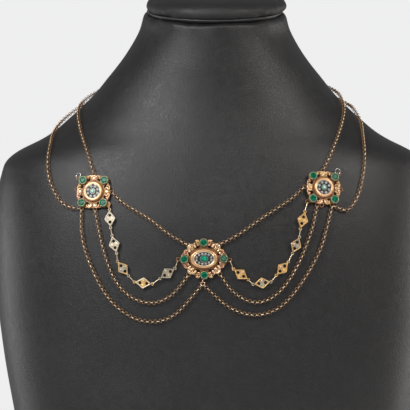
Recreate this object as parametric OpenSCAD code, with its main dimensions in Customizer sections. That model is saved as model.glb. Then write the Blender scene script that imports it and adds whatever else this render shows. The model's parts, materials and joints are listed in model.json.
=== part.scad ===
// Festoon necklace with three gem-set plaques, worn on a plain padded neck bust.
// Millimetres. +Z is up, the front faces -Y, and +X is to the viewer's right.
// The origin is in the middle of the bust's flat base.

/* [Bust] */
// Height of the bust, from its base to the middle of the neck's top edge
bust_h = 292; // [270:1:320]
// Half of the bust's width at its widest, below the shoulders
bust_half_w = 115; // [105:1:125]
// Depth of the bust at the chest, front to back
bust_depth = 101; // [90:1:115]
// Forward tilt of the neck's top, in degrees
neck_tilt = 10; // [4:1:14]
// Height of the padded cap on the neck
cap_t = 11; // [8:0.5:14]
// How far the cap's edge stays inside the neck's edge
cap_inset = 0.8; // [0:0.1:3]

/* [Chains] */
// Radius of a round chain link, at the middle of its wire
link_r = 0.92; // [0.84:0.02:1]
// Thickness of a chain link's wire
link_wire = 0.38; // [0.3:0.02:0.42]
// Clearance between two wires that hold each other
wire_gap = 0.1; // [0.1:0.01:0.14]
// Height of a chain's middle above the bust
chain_rise = 1.4; // [1.35:0.05:1.8]

/* [Plaques] */
// Thickness of the pierced plates
plate_t = 1.1; // [0.8:0.1:1.5]
// Gap between a plaque's back and the bust
plaque_gap = 0.4; // [0.3:0.05:0.8]
// Radius of the soldered rings, at the middle of the wire
ring_r = 0.95; // [0.9:0.05:1.1]
// Thickness of the soldered rings' wire
ring_wire = 0.44; // [0.36:0.02:0.5]
// Diameter of the emeralds on the edges
edge_stone_d = 3.3; // [2.8:0.1:3.6]
// Wall of the round collets
collet_wall = 0.32; // [0.25:0.01:0.4]
// Height of the collets above the plate
collet_h = 1.6; // [1.3:0.1:2]
// Height of the polished rim above the plate
rim_h = 1.9; // [1.4:0.1:2.2]

/* [Centre plaque] */
// Half of the centre plate's width, without its lobes
centre_half_w = 10.6; // [10:0.1:11.5]
// Half of the centre plate's height, without its lobes
centre_half_h = 7.8; // [7.4:0.1:8.4]
// Distance of the left and right emeralds from the middle
centre_stone_x = 10.3; // [10:0.1:11]
// Distance of the upper and lower emeralds from the middle
centre_stone_z = 8.5; // [8.2:0.1:9]
// Inner half height of the centre plaque's polished rim
centre_rim_in = 3.5; // [3.4:0.05:3.7]
// Outer half height of the centre plaque's polished rim
centre_rim_out = 5; // [4.8:0.1:5.4]
// Width of the oval rim as a multiple of its height
centre_oval = 1.42; // [1.3:0.02:1.5]

/* [Side plaques] */
// Radius of the side plate, without its lobes
side_r = 7.3; // [7:0.1:8]
// Distance of a corner emerald from the middle, across
side_stone_x = 5.8; // [5.6:0.1:6.3]
// Distance of a corner emerald from the middle, upwards
side_stone_z = 6; // [5.8:0.1:6.4]
// Inner radius of the side plaques' polished rim
side_rim_in = 3.7; // [3.6:0.05:3.9]
// Outer radius of the side plaques' polished rim
side_rim_out = 5.1; // [4.9:0.1:5.3]

/* [Lozenges] */
// Half of a lozenge's length, to its point
lozenge_half_l = 4.3; // [4:0.1:4.6]
// Half of a lozenge's width
lozenge_half_w = 2.9; // [2.6:0.1:3.2]
// Thickness of a lozenge's plate
lozenge_t = 0.7; // [0.5:0.1:1]
// Radius of the rings at a lozenge's ends
eye_r = 0.62; // [0.6:0.02:0.7]
// Thickness of the rings' wire at a lozenge's ends
eye_wire = 0.4; // [0.34:0.02:0.44]

/* [Hidden] */
$fn = 36;
FRONT = -1;
BACK = 1;

// The bust's cross-sections, from the base up. Heights are shares of bust_h, half widths of
// bust_half_w, and the front, back and ridge depths of bust_depth. A squareness of 2 is an ellipse.
// height, half width, front, back, ridge, squareness
SECTIONS = [
    [0.000, 0.765, 0.455, 0.376, 0.058, 2.40],
    [0.137, 0.843, 0.495, 0.396, 0.063, 2.40],
    [0.291, 0.917, 0.540, 0.416, 0.070, 2.40],
    [0.411, 0.970, 0.564, 0.427, 0.075, 2.35],
    [0.514, 0.996, 0.574, 0.431, 0.078, 2.30],
    [0.616, 1.000, 0.560, 0.426, 0.079, 2.25],
    [0.685, 0.990, 0.526, 0.411, 0.079, 2.20],
    [0.719, 0.970, 0.501, 0.398, 0.077, 2.15],
    [0.736, 0.952, 0.487, 0.390, 0.075, 2.10],
    [0.755, 0.891, 0.470, 0.381, 0.073, 2.08],
    [0.772, 0.800, 0.454, 0.373, 0.070, 2.06],
    [0.789, 0.730, 0.439, 0.366, 0.067, 2.04],
    [0.808, 0.674, 0.424, 0.359, 0.063, 2.02],
    [0.825, 0.626, 0.411, 0.353, 0.060, 2.00],
    [0.843, 0.578, 0.399, 0.348, 0.056, 2.00],
    [0.863, 0.530, 0.386, 0.343, 0.050, 2.00],
    [0.880, 0.496, 0.376, 0.340, 0.045, 2.00],
    [0.897, 0.461, 0.368, 0.337, 0.040, 2.00],
    [0.921, 0.415, 0.359, 0.334, 0.034, 2.00],
    [0.949, 0.370, 0.352, 0.331, 0.029, 2.00],
    [0.973, 0.339, 0.347, 0.329, 0.024, 2.00],
    [1.000, 0.326, 0.343, 0.328, 0.020, 2.00],
];
// The cap's profile, from its seat on the neck up: height as a share of cap_t, and how far it
// draws in as a share of the cap's half width
CAP_ROWS = [
    [0.000, 0.060],
    [0.080, 0.015],
    [0.230, 0.000],
    [0.450, 0.016],
    [0.660, 0.070],
    [0.810, 0.170],
    [0.910, 0.320],
    [0.970, 0.540],
    [1.000, 0.800],
];
// Height share above which the cross-sections begin to lean forward
lean_from = 0.905;
// Points in one ring of the bust and of the cap
bust_sides = 44;
// Gap between the neck and the cap
cap_gap = 0.3;
// Shift of the whole bust along Y that puts the part's middle over the origin
bust_y = 1;

// The bust on which the routes and places below were chosen
ROUTE_HALF_W = 115;
ROUTE_H = 292;
// Places on the bust: x and height, in millimetres
CENTRE_AT = [-5.6, 163.5];
LEFT_AT = [-62.8, 198.2];
RIGHT_AT = [56.3, 200.2];
CLASP_AT = [0, 259.5];
// Turn of each plaque in its own plane, in degrees
centre_turn = 1;
left_turn = 0;
right_turn = -3;
// Lozenge centres from the side plaque to the centre plaque: x and height
LEFT_LOZENGES = [[-54.2, 183.5], [-52, 171], [-47.5, 158.5], [-37, 151], [-24.5, 156]];
RIGHT_LOZENGES = [[45.5, 183.5], [42, 170.5], [35, 158.5], [24.5, 151], [13.5, 155.5]];
// Chain routes between their end rings: x, height and side of the bust
LEFT_COLLAR = [[-47, 192, FRONT], [-34, 184, FRONT], [-23.5, 176, FRONT]];
RIGHT_COLLAR = [[38, 193.5, FRONT], [25, 185, FRONT], [12, 176, FRONT]];
LEFT_INNER = [
    [-60, 178, FRONT],
    [-57.5, 167.5, FRONT],
    [-53, 155, FRONT],
    [-46.5, 146, FRONT],
    [-38.5, 141.5, FRONT],
    [-30, 141, FRONT],
    [-21.5, 145.5, FRONT],
];
RIGHT_INNER = [
    [51, 181.5, FRONT],
    [47.5, 171, FRONT],
    [43, 160.5, FRONT],
    [36.5, 150, FRONT],
    [29.5, 143.5, FRONT],
    [22, 141, FRONT],
    [14.5, 143, FRONT],
    [8, 148, FRONT],
];
LEFT_OUTER = [
    [-69, 178.5, FRONT],
    [-67, 168, FRONT],
    [-62.5, 156.5, FRONT],
    [-57.5, 147, FRONT],
    [-51, 139, FRONT],
    [-43, 133.5, FRONT],
    [-34.5, 131, FRONT],
    [-26, 132, FRONT],
    [-18.5, 136.5, FRONT],
];
RIGHT_OUTER = [
    [58, 180, FRONT],
    [55, 169.5, FRONT],
    [49.5, 158.5, FRONT],
    [43, 148.5, FRONT],
    [35.5, 140, FRONT],
    [27.5, 135.5, FRONT],
    [19.5, 134.5, FRONT],
    [11.5, 136.5, FRONT],
    [4, 141, FRONT],
];
LEFT_SHOULDER = [
    [-76, 190.5, FRONT],
    [-81, 195, FRONT],
    [-85, 203, FRONT],
    [-86.5, 212, FRONT],
    [-85.5, 221, FRONT],
    [-83, 229.5, FRONT],
    [-78, 236.5, BACK],
    [-69.5, 242, BACK],
    [-59.5, 246.5, BACK],
    [-47, 250.5, BACK],
    [-33, 254, BACK],
    [-19, 256.5, BACK],
];
RIGHT_SHOULDER = [
    [66.5, 188.5, FRONT],
    [70.5, 190.5, FRONT],
    [74.5, 197.5, FRONT],
    [77, 209, FRONT],
    [77.5, 220.5, FRONT],
    [76.5, 228, FRONT],
    [75.3, 234.5, FRONT],
    [72.4, 239.8, FRONT],
    [68.5, 243.5, BACK],
    [63.5, 246.3, BACK],
    [57, 248.5, BACK],
    [45, 252, BACK],
    [32, 255, BACK],
    [19, 256.5, BACK],
];
LEFT_BACK = [
    [-65.5, 217, FRONT],
    [-69, 228, FRONT],
    [-70.5, 238, FRONT],
    [-69, 243.5, FRONT],
    [-63, 248.5, BACK],
    [-53, 254, BACK],
    [-42, 257.5, BACK],
    [-30, 259.5, BACK],
    [-18, 261, BACK],
];
RIGHT_BACK = [
    [60.5, 218.5, FRONT],
    [64.5, 229.5, FRONT],
    [66.5, 240, FRONT],
    [65.5, 245.5, FRONT],
    [61.5, 250.8, BACK],
    [49, 256.2, BACK],
    [39, 259, BACK],
    [28, 260.5, BACK],
    [17.5, 261.5, BACK],
];

// Steps that a route is smoothed into between two of its points
route_steps = 8;
// Longest distance between two links' centres
link_pitch = 2 * link_r - link_wire - wire_gap;
// Distance from a soldered ring's centre to the first link's centre
link_lead = ring_r + link_r - (ring_wire + link_wire) / 2 - wire_gap;
// Sides, ring spacing and diameter of the plain tubes along the longest chains
tube_sides = 8;
tube_step = 6.5;
tube_d = 2 * link_r + link_wire;
// Gap between a ring and the end of a plain tube, and the distance from the ring's centre
tube_gap = 0.7;
tube_lead = ring_r + ring_wire / 2 + tube_gap;
// Wire and half width of the oval links between the lozenges
oval_wire = 0.36;
oval_half_w = 0.55;
// Distance from a lozenge's centre to an end ring's centre
eye_at = lozenge_half_l + 0.45;
// Distances from a ring's centre to the tip of the oval link that it holds
ring_hold = ring_r - (ring_wire + oval_wire) / 2 - wire_gap;
eye_hold = eye_r - (eye_wire + oval_wire) / 2 - wire_gap;
// Distance between a plaque's ring and a lozenge's ring that hold each other directly
direct_lead = ring_r + eye_r - (ring_wire + eye_wire) / 2 - wire_gap;
// Gap round a loose stone or cluster in its seat
seat_gap = 0.05;
// Radius of a collet's wall outside
collet_r = edge_stone_d / 2 + seat_gap + collet_wall;
// How far the plate reaches past a collet
collet_foot = 0.35;
// Depth of a stone's seat below the collet's edge
seat_depth = 1.2;
// Small stones: diameter, and the wall between them
chip_d = 1.15;
chip_wall = 0.2;
// Heights of the silver cluster's floor, its small collets and its middle collet
cluster_floor = 1;
cluster_collet = 0.55;
cluster_middle = 0.95;

// The gem places of each plaque in its own plane, in the order N S W E or the four corners
CENTRE_STONES = [
    [0, centre_stone_z],
    [0, -centre_stone_z],
    [-centre_stone_x, 0],
    [centre_stone_x, 0],
];
SIDE_STONES = [
    [-side_stone_x, side_stone_z],
    [side_stone_x, side_stone_z],
    [-side_stone_x, -side_stone_z],
    [side_stone_x, -side_stone_z],
];
// Soldered rings in each plaque's own plane: x, height, and the direction in which a ring that
// stands on its edge points, in degrees
CENTRE_RINGS = [
    [-8.2, 7.3],
    [8.2, 7.4],
    [-centre_stone_x - 3.2, 0],
    [centre_stone_x + 3.1, -0.8],
    [-8.2, -8.1],
    [8.2, -8.1],
    [-0.9, -centre_stone_z - 3, -90],
];
LEFT_RINGS = [
    [-0.4, 9.4],
    [9.9, -0.2],
    [9, -8.4, -90],
    [1.2, -9.2],
    [-side_stone_x - 0.3, -side_stone_z - 2.9],
    [-side_stone_x - 3, side_stone_z + 1.3],
    [-9.3, 1.5],
];
RIGHT_RINGS = [
    [-0.3, 9.4],
    [-10, 0.1],
    [-side_stone_x - 2.7, -side_stone_z - 1.7],
    [-3.3, -9.4],
    [side_stone_x - 1, -side_stone_z - 2.9],
    [side_stone_x + 2.5, side_stone_z + 2],
    [9.4, -0.3],
    [-0.9, -9.2],
];
// Places in the ring lists above
TOP_RING = 0;
COLLAR_RING = 1;
LOZENGE_RING = 2;
INNER_RING = 3;
OUTER_RING = 4;
CENTRE_COLLAR = [0, 1];
CENTRE_LOZENGE = [2, 3];
CENTRE_INNER = [4, 5];
CENTRE_BOTTOM = 6;
// Lobes of the plates in one quarter, and single ones: x, height, radius
CENTRE_LOBES = [[6.3, 5.6, 2.3], [10.4, 2.3, 1.2], [9.1, 3.9, 1.3], [3.2, 8.3, 1.7]];
SIDE_LOBES = [[3.2, 6.9, 1.7], [6.9, 3, 1.7]];
SIDE_BOSSES = [[0, 6.5, 2.1], [0, -6.5, 2.1], [-6.9, 0, 2.2], [6.9, 0, 2.2]];
// A lobe of the left plate's own, which carries its lozenge ring
LEFT_BOSS = [8, -6.6, 1.5];
// Pierced holes in one quarter: x, height, radius
CENTRE_HOLES = [[3.2, 6.4, 0.7], [4.1, 6.2, 0.6], [7.7, 2.5, 0.45]];
SIDE_HOLES = [[2.9, 6.4, 0.6], [6.4, 2.7, 0.55]];
// Raised scrolls in one quarter: x, height, bend radius, wire radius, start and end angle
CENTRE_SCROLLS = [
    [6.2, 5.5, 1.9, 0.62, -50, 150],
    [9.1, 3.4, 1.2, 0.42, -70, 110],
    [3.3, 8.4, 1.2, 0.45, 60, 260],
];
SIDE_SCROLLS = [[1.9, 7.1, 1.3, 0.45, 0, 200], [7.3, 1.9, 1.3, 0.45, -110, 90]];
// The ring under the centre plaque that holds both outer swags
festoon_r = 1.05;
// Half size and thickness of the clasp, and how far its loops lie from its middle line
clasp_half_w = 5;
clasp_half_h = 3.4;
clasp_t = 2.4;
clasp_row = 2;

// How far a stone's girdle lies below its collet's edge
stone_sink = 0.25;
// Half sizes of the clusters inside their rims, and of the stones in their middles
rim_gap = 0.1;
cluster_r = side_rim_in - rim_gap;
cluster_w = centre_rim_in * centre_oval - rim_gap;
cluster_h = centre_rim_in - rim_gap;
middle_r = 1.2;
middle_w = 1.95;
middle_h = 1.6;
// Small stones round the middle one
side_chips = 8;
centre_chips = 12;
// Levels of the cut stones: share of the outline, and height from the girdle's top
EDGE_LEVELS = [[0.2, -0.85], [1, -0.12], [1, 0], [0.62, 0.5]];
MIDDLE_LEVELS = [[1, 0], [1, 0.75], [0.62, 1.35]];
CHIP_LEVELS = [[1, 0], [1, 0.3], [0.5, 0.62]];
// A lozenge's raised border, bosses and holes
lozenge_border = 0.5;
lozenge_border_h = 0.22;
lozenge_boss_r = 0.75;
lozenge_hole_r = 0.82;
// Turn that the links of a chain take halfway along it, in degrees
link_roll = 12;

// Vectors and frames
function unit(v) = v / norm(v);
// A matrix whose X and Z directions are given, at a point
function frame_at(p, x, z) =
    let (y = cross(z, x))
    [
        [x[0], y[0], z[0], p[0]],
        [x[1], y[1], z[1], p[1]],
        [x[2], y[2], z[2], p[2]],
        [0, 0, 0, 1],
    ];
// A point of a frame's own, in the part's frame
function placed(m, p) = [for (r = [0:2]) m[r][0] * p[0] + m[r][1] * p[1] + m[r][2] * p[2] + m[r][3]];

// The bust's surface
function row_of(v, i = 0) =
    i >= len(SECTIONS) - 2 || v < SECTIONS[i + 1][0] ? i : row_of(v, i + 1);
function rise_at(i) =
    let (a = SECTIONS[max(i - 1, 0)], b = SECTIONS[min(i + 1, len(SECTIONS) - 1)])
    (b - a) / (b[0] - a[0]);
// One cross-section at a height share, by a smooth curve through the table's rows
function section(v) =
    let (
        i = row_of(v),
        span = SECTIONS[i + 1][0] - SECTIONS[i][0],
        t = (v - SECTIONS[i][0]) / span,
        ease = t * t * (3 - 2 * t)
    )
    SECTIONS[i] * (1 - ease) + SECTIONS[i + 1] * ease
        + rise_at(i) * span * t * (1 - t) * (1 - t) - rise_at(i + 1) * span * t * t * (1 - t);
function half_width(s) = s[1] * bust_half_w;
function depth_towards(s, side) = (side < 0 ? s[2] : s[3]) * bust_depth;
function ridge_y(s) = s[4] * bust_depth + bust_y;
function power(x, e) = sign(x) * pow(abs(x), e);
function lean(v) = tan(neck_tilt * max(0, v - lean_from) / (1 - lean_from));
// A point of the surface at a height share, at an angle counted from the viewer's right
function skin(v, angle) =
    let (
        s = section(v),
        e = 2 / s[5],
        y = depth_towards(s, sin(angle)) * power(sin(angle), e)
    )
    [half_width(s) * power(cos(angle), e), ridge_y(s) + y, v * bust_h + y * lean(v)];
// 1 on the surface, less inside it and more outside
function swell(x, y, z) =
    let (s = section(z / bust_h), dy = y - ridge_y(s))
    pow(abs(x) / half_width(s), s[5]) + pow(abs(dy) / depth_towards(s, dy), s[5]);
// How fast the swell grows in each direction, near a point
function gradient(p) =
    let (e = 0.05)
    [
        swell(p[0] + e, p[1], p[2]) - swell(p[0] - e, p[1], p[2]),
        swell(p[0], p[1] + e, p[2]) - swell(p[0], p[1] - e, p[2]),
        swell(p[0], p[1], p[2] + e) - swell(p[0], p[1], p[2] - e),
    ] / (2 * e);
function outward(p) = unit(gradient(p));
function height_over(p) = (swell(p[0], p[1], p[2]) - 1) / norm(gradient(p));
// The point at a height above the surface, given x, height and side
function lift(place, side, above) =
    let (
        z = place[1] * bust_h / ROUTE_H,
        s = section(z / bust_h),
        x = min(abs(place[0]) * bust_half_w / ROUTE_HALF_W, half_width(s)),
        share = pow(max(0, 1 - pow(x / half_width(s), s[5])), 1 / s[5]),
        p = [sign(place[0]) * x, ridge_y(s) + side * depth_towards(s, side) * share, z]
    )
    p + above * outward(p);
// A flat piece's frame on the bust: X across, Y upwards, Z outwards
function seat_frame(place, side, above, turn) =
    let (
        p = lift(place, side, above),
        n = outward(p),
        up = unit([0, 0, 1] - n[2] * n),
        across = cross(up, n)
    )
    frame_at(p, across * cos(turn) + up * sin(turn), n);

CENTRE_FRAME = seat_frame(CENTRE_AT, FRONT, plaque_gap, centre_turn);
LEFT_FRAME = seat_frame(LEFT_AT, FRONT, plaque_gap, left_turn);
RIGHT_FRAME = seat_frame(RIGHT_AT, FRONT, plaque_gap, right_turn);
// A ring that lies flat is soldered a little above the plate's middle, and one on its edge at its top
function ring_level(row) = len(row) == 3 ? plate_t : plate_t * 0.75;
function ring_point(m, rings, i) = placed(m, [rings[i][0], rings[i][1], ring_level(rings[i])]);

// Routes: a smooth curve through points, and places along it
function curve_point(a, b, c, d, t) =
    b + (c - a) * t / 2 + (2 * a - 5 * b + 4 * c - d) * t * t / 2 + (3 * b - a - 3 * c + d) * t * t * t / 2;
function curve(rows, start, end) =
    let (p = [start, each rows, end], last = len(p) - 1)
    [
        for (i = [0:last - 1], k = [0:route_steps - 1])
            curve_point(p[max(i - 1, 0)], p[i], p[i + 1], p[min(i + 2, last)], k / route_steps),
        p[last],
    ];
// A point of a chain is lifted where the smooth curve would run closer to the bust
function settled(p) = p + max(0, chain_rise - height_over(p)) * outward(p);
function route(start, rows, end) =
    let (p = curve([for (r = rows) lift([r[0], r[1]], r[2], chain_rise)], start, end))
    [start, for (i = [1:len(p) - 2]) settled(p[i]), end];
function run_lengths(p) =
    [
        for (i = 0, s = 0; i < len(p); i = i + 1, s = s + (i < len(p) ? norm(p[i] - p[i - 1]) : 0))
            s,
    ];
// Length and coordinate tables of a route, which lookup() reads
function measured(p) =
    let (s = run_lengths(p))
    [s[len(s) - 1], for (c = [0:2]) [for (i = [0:len(p) - 1]) [s[i], p[i][c]]]];
function along(m, s) = [lookup(s, m[1]), lookup(s, m[2]), lookup(s, m[3])];
function heading(m, s) = unit(along(m, min(s + 0.3, m[0])) - along(m, max(s - 0.3, 0)));
// A frame on a route: X along it, Z in the plane of the surface's outward direction
function route_frame(m, s, roll) =
    let (
        p = along(m, s),
        x = heading(m, s),
        n = outward(p),
        z = unit(n - (n * x) * x),
        y = cross(z, x)
    )
    frame_at(p, x, z * cos(roll) + y * sin(roll));

function centre_ring(i) = ring_point(CENTRE_FRAME, CENTRE_RINGS, i);
function left_ring(i) = ring_point(LEFT_FRAME, LEFT_RINGS, i);
function right_ring(i) = ring_point(RIGHT_FRAME, RIGHT_RINGS, i);

// The festoon ring hangs under the centre plaque's lowest ring
FESTOON_PLACE =
    let (r = CENTRE_RINGS[CENTRE_BOTTOM])
    [r[0], r[1] - ring_r - festoon_r + ring_wire + wire_gap, ring_level(r)];
FESTOON_POINT = placed(CENTRE_FRAME, FESTOON_PLACE);
festoon_lead = festoon_r + ring_wire / 2 + tube_gap;

// The clasp lies flat on the nape, with X to the viewer's left
CLASP_FRAME = seat_frame(CLASP_AT, BACK, plaque_gap, 0);
clasp_loop_x = clasp_half_w * sqrt(1 - pow(clasp_row / clasp_half_h, 2)) + ring_r - 0.15;
function clasp_loop(x, y) = placed(CLASP_FRAME, [x * clasp_loop_x, y * clasp_row, clasp_t / 2]);

// A small stone's place in the oval round a cluster's middle. The angles are spread so that the
// stones lie evenly spaced.
function chip_place(i, half_w, half_h, chips) =
    let (
        edge = chip_d / 2 + seat_gap + chip_wall,
        w = half_w - edge,
        h = half_h - edge,
        even = (i + 0.5) * 360 / chips,
        angle = even + (w - h) / (w + h) * 90 / PI * sin(2 * even)
    )
    [w * cos(angle), h * sin(angle), 0];

// A strand of lozenges: their centres, the rings at its two ends, and whether the first lozenge
// hangs directly from its ring
function strand(start, places, end, direct) =
    let (
        p = [for (place = places) lift(place, FRONT, chain_rise)],
        first = direct ? start + unit(p[0] - start) * (direct_lead + eye_at) : p[0]
    )
    [concat([first], [for (i = [1:len(p) - 1]) p[i]]), start, end, direct];
LEFT_STRAND = strand(left_ring(LOZENGE_RING), LEFT_LOZENGES, centre_ring(CENTRE_LOZENGE[0]), true);
RIGHT_STRAND = strand(right_ring(LOZENGE_RING), RIGHT_LOZENGES, centre_ring(CENTRE_LOZENGE[1]), false);
function lozenge_frame(strand, i) =
    let (
        p = strand[0],
        before = i == 0 ? strand[1] : p[i - 1],
        after = i == len(p) - 1 ? strand[2] : i == 0 && strand[3] ? p[0] : p[i + 1],
        x = unit(after - before),
        n = outward(p[i])
    )
    frame_at(p[i], x, unit(n - (n * x) * x));
function eye_point(strand, i, end) = placed(lozenge_frame(strand, i), [end * eye_at, 0, 0]);

// A closed solid through rings of points that turn anticlockwise about its direction
module loft(rings) {
    n = len(rings[0]);
    last = len(rings) - 1;
    polyhedron(
        points = [for (ring = rings) each ring],
        faces = concat(
            [[for (i = [0:n - 1]) i]],
            [
                for (j = [0:last - 1], i = [0:n - 1])
                    let (low = j * n, high = low + n, next = (i + 1) % n)
                    each [[low + i, high + i, high + next], [low + i, high + next, low + next]],
            ],
            [[for (i = [n - 1:-1:0]) last * n + i]]
        )
    );
}

module hoop(r, wire) {
    rotate_extrude() translate([r, 0]) circle(d = wire);
}

module four_ways() {
    for (across = [0, 1], upwards = [0, 1])
        mirror([across, 0, 0]) mirror([0, upwards, 0]) children();
}

// The black padded neck form that carries the necklace
module neck_bust() {
    rows = len(SECTIONS);
    levels = [
        for (i = [0:rows - 2], half = [0, 0.5])
            SECTIONS[i][0] * (1 - half) + SECTIONS[i + 1][0] * half,
        SECTIONS[rows - 1][0],
    ];
    color("dimgray")
        loft([for (v = levels) [for (i = [0:bust_sides - 1]) skin(v, i * 360 / bust_sides)]]);
}

// The stuffed cap on the neck's tilted top
module neck_cap() {
    top = section(1);
    color("dimgray")
        translate([0, ridge_y(top), bust_h]) rotate([neck_tilt, 0, 0])
            loft([
                for (row = CAP_ROWS)
                    [
                        for (i = [0:bust_sides - 1])
                            let (angle = i * 360 / bust_sides, share = 1 - row[1])
                            [
                                (half_width(top) - cap_inset) * share * cos(angle),
                                (depth_towards(top, sin(angle)) - cap_inset) * share * sin(angle),
                                cap_gap + cap_t * row[0],
                            ],
                    ],
            ]);
}

// A round box for one stone, open at its top
module collet(r, base_z, top_z, wall) {
    difference() {
        translate([0, 0, base_z]) cylinder(r1 = r + wall * 1.5, r2 = r + wall, h = top_z - base_z);
        translate([0, 0, top_z - seat_depth]) cylinder(r = r, h = seat_depth + 1);
    }
}

// A C-shaped scroll of half-sunk wire with a ball at each end
module scroll(row) {
    translate([row[0], row[1], plate_t]) {
        rotate([0, 0, row[4]])
            rotate_extrude(angle = row[5] - row[4]) translate([row[2], 0]) circle(r = row[3]);
        for (angle = [row[4], row[5]])
            rotate([0, 0, angle]) translate([row[2], 0, 0]) sphere(r = row[3] * 1.25);
    }
}

module soldered_ring(row) {
    translate([row[0], row[1], ring_level(row)])
        rotate(len(row) == 3 ? [0, 90, row[2] + 90] : [0, 0, 0]) hoop(ring_r, ring_wire);
}

module pierced_plate(lobes, bosses, holes, stones) {
    linear_extrude(plate_t)
        difference() {
            union() {
                children();
                four_ways() for (l = lobes) translate([l[0], l[1]]) circle(r = l[2]);
                for (b = bosses) translate([b[0], b[1]]) circle(r = b[2]);
                for (s = stones) translate(s) circle(r = collet_r + collet_foot);
            }
            four_ways() for (h = holes) translate([h[0], h[1]]) circle(r = h[2]);
        }
}

// The polished rim round a cluster, as a ring of one rounded profile
module polished_rim(r_in, r_out) {
    crest = (r_in + r_out) / 2;
    rotate_extrude()
        polygon([
            [r_in, plate_t / 2],
            [r_in, plate_t + rim_h * 0.7],
            [crest - 0.25, plate_t + rim_h],
            [crest + 0.1, plate_t + rim_h],
            [r_out - 0.3, plate_t + rim_h * 0.6],
            [r_out, plate_t + rim_h * 0.15],
            [r_out, plate_t / 2],
        ]);
}

module plaque_relief(stones, scrolls, rings) {
    for (s = stones)
        translate(s) collet(edge_stone_d / 2 + seat_gap, plate_t / 2, plate_t + collet_h, collet_wall);
    four_ways() for (row = scrolls) scroll(row);
    for (row = rings) soldered_ring(row);
}

module oval_outline(half_w, half_h, sides = 48) {
    polygon([for (i = [0:sides - 1]) [half_w * cos(i * 360 / sides), half_h * sin(i * 360 / sides)]]);
}

module centre_plaque() {
    color("goldenrod") multmatrix(CENTRE_FRAME) {
        pierced_plate(CENTRE_LOBES, [], CENTRE_HOLES, CENTRE_STONES)
            oval_outline(centre_half_w, centre_half_h);
        scale([centre_oval, 1, 1]) polished_rim(centre_rim_in, centre_rim_out);
        plaque_relief(CENTRE_STONES, CENTRE_SCROLLS, CENTRE_RINGS);
    }
}

module side_plaque(m, rings, bosses) {
    color("goldenrod") multmatrix(m) {
        pierced_plate(SIDE_LOBES, bosses, SIDE_HOLES, SIDE_STONES) circle(r = side_r);
        polished_rim(side_rim_in, side_rim_out);
        plaque_relief(SIDE_STONES, SIDE_SCROLLS, rings);
    }
}

// The silver setting inside a polished rim: a floor, a ring of small collets and a middle one
module cluster(m, half_w, half_h, stone_w, stone_h, chips) {
    floor_z = plate_t + seat_gap;
    chip_r = chip_d / 2 + seat_gap;
    color("silver") multmatrix(m) translate([0, 0, floor_z]) {
        linear_extrude(cluster_floor) oval_outline(half_w, half_h);
        difference() {
            linear_extrude(cluster_floor + cluster_middle)
                oval_outline(stone_w + seat_gap + chip_wall, stone_h + seat_gap + chip_wall);
            translate([0, 0, cluster_floor + seat_gap])
                linear_extrude(cluster_middle) oval_outline(stone_w + seat_gap, stone_h + seat_gap);
        }
        for (i = [0:chips - 1])
            translate(chip_place(i, half_w, half_h, chips))
                difference() {
                    cylinder(r = chip_r + chip_wall, h = cluster_floor + cluster_collet);
                    translate([0, 0, cluster_floor + seat_gap]) cylinder(r = chip_r, h = cluster_collet);
                }
    }
}

// A cut stone: pointed or flat below, with a girdle, a sloping crown and a flat table
module cut_stone(half_w, half_h, levels, sides) {
    loft([
        for (row = levels)
            [
                for (i = [0:sides - 1])
                    let (angle = i * 360 / sides)
                    [half_w * row[0] * cos(angle), half_h * row[0] * sin(angle), row[1]],
            ],
    ]);
}

// A ring of small rose-cut diamonds round a cluster's middle
module diamonds(m, half_w, half_h, chips) {
    color("white") multmatrix(m)
        for (i = [0:chips - 1])
            translate(chip_place(i, half_w, half_h, chips))
                translate([0, 0, plate_t + cluster_floor + 3 * seat_gap])
                    cut_stone(chip_d / 2, chip_d / 2, CHIP_LEVELS, 8);
}

// The emerald in a cluster's middle
module middle_emerald(m, half_w, half_h) {
    color("seagreen") multmatrix(m)
        translate([0, 0, plate_t + cluster_floor + 3 * seat_gap])
            cut_stone(half_w, half_h, MIDDLE_LEVELS, 12);
}

// A round emerald in its collet
module edge_emerald(m, place) {
    color("seagreen") multmatrix(m)
        translate([place[0], place[1], plate_t + collet_h - stone_sink])
            cut_stone(edge_stone_d / 2, edge_stone_d / 2, EDGE_LEVELS, 12);
}

// A pierced lozenge with a raised border, two bosses and a ring at each end
module lozenge(m) {
    color("gold") multmatrix(m) {
        difference() {
            union() {
                translate([0, 0, -lozenge_t / 2]) linear_extrude(lozenge_t) lozenge_outline(0);
                difference() {
                    linear_extrude(lozenge_t / 2 + lozenge_border_h) lozenge_outline(0);
                    translate([0, 0, -lozenge_t])
                        linear_extrude(3 * lozenge_t) lozenge_outline(lozenge_border);
                }
                for (side = [-1, 1])
                    translate([0, side * lozenge_half_w * 0.52, 0])
                        cylinder(r = lozenge_boss_r, h = lozenge_t / 2 + lozenge_border_h);
            }
            for (side = [-1, 1])
                translate([side * lozenge_half_l * 0.41, 0, -lozenge_t])
                    cylinder(r = lozenge_hole_r, h = 3 * lozenge_t);
        }
        for (side = [-1, 1]) translate([side * eye_at, 0, 0]) hoop(eye_r, eye_wire);
    }
}

// A rhombus with rounded shoulders, drawn in by a border's width
module lozenge_outline(inset) {
    l = lozenge_half_l - inset * 1.6;
    w = lozenge_half_w - inset * 1.15;
    polygon([[l, 0], [0, w], [-l, 0], [0, -w]]);
    circle(r = lozenge_half_w * 0.86 - inset);
}

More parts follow.
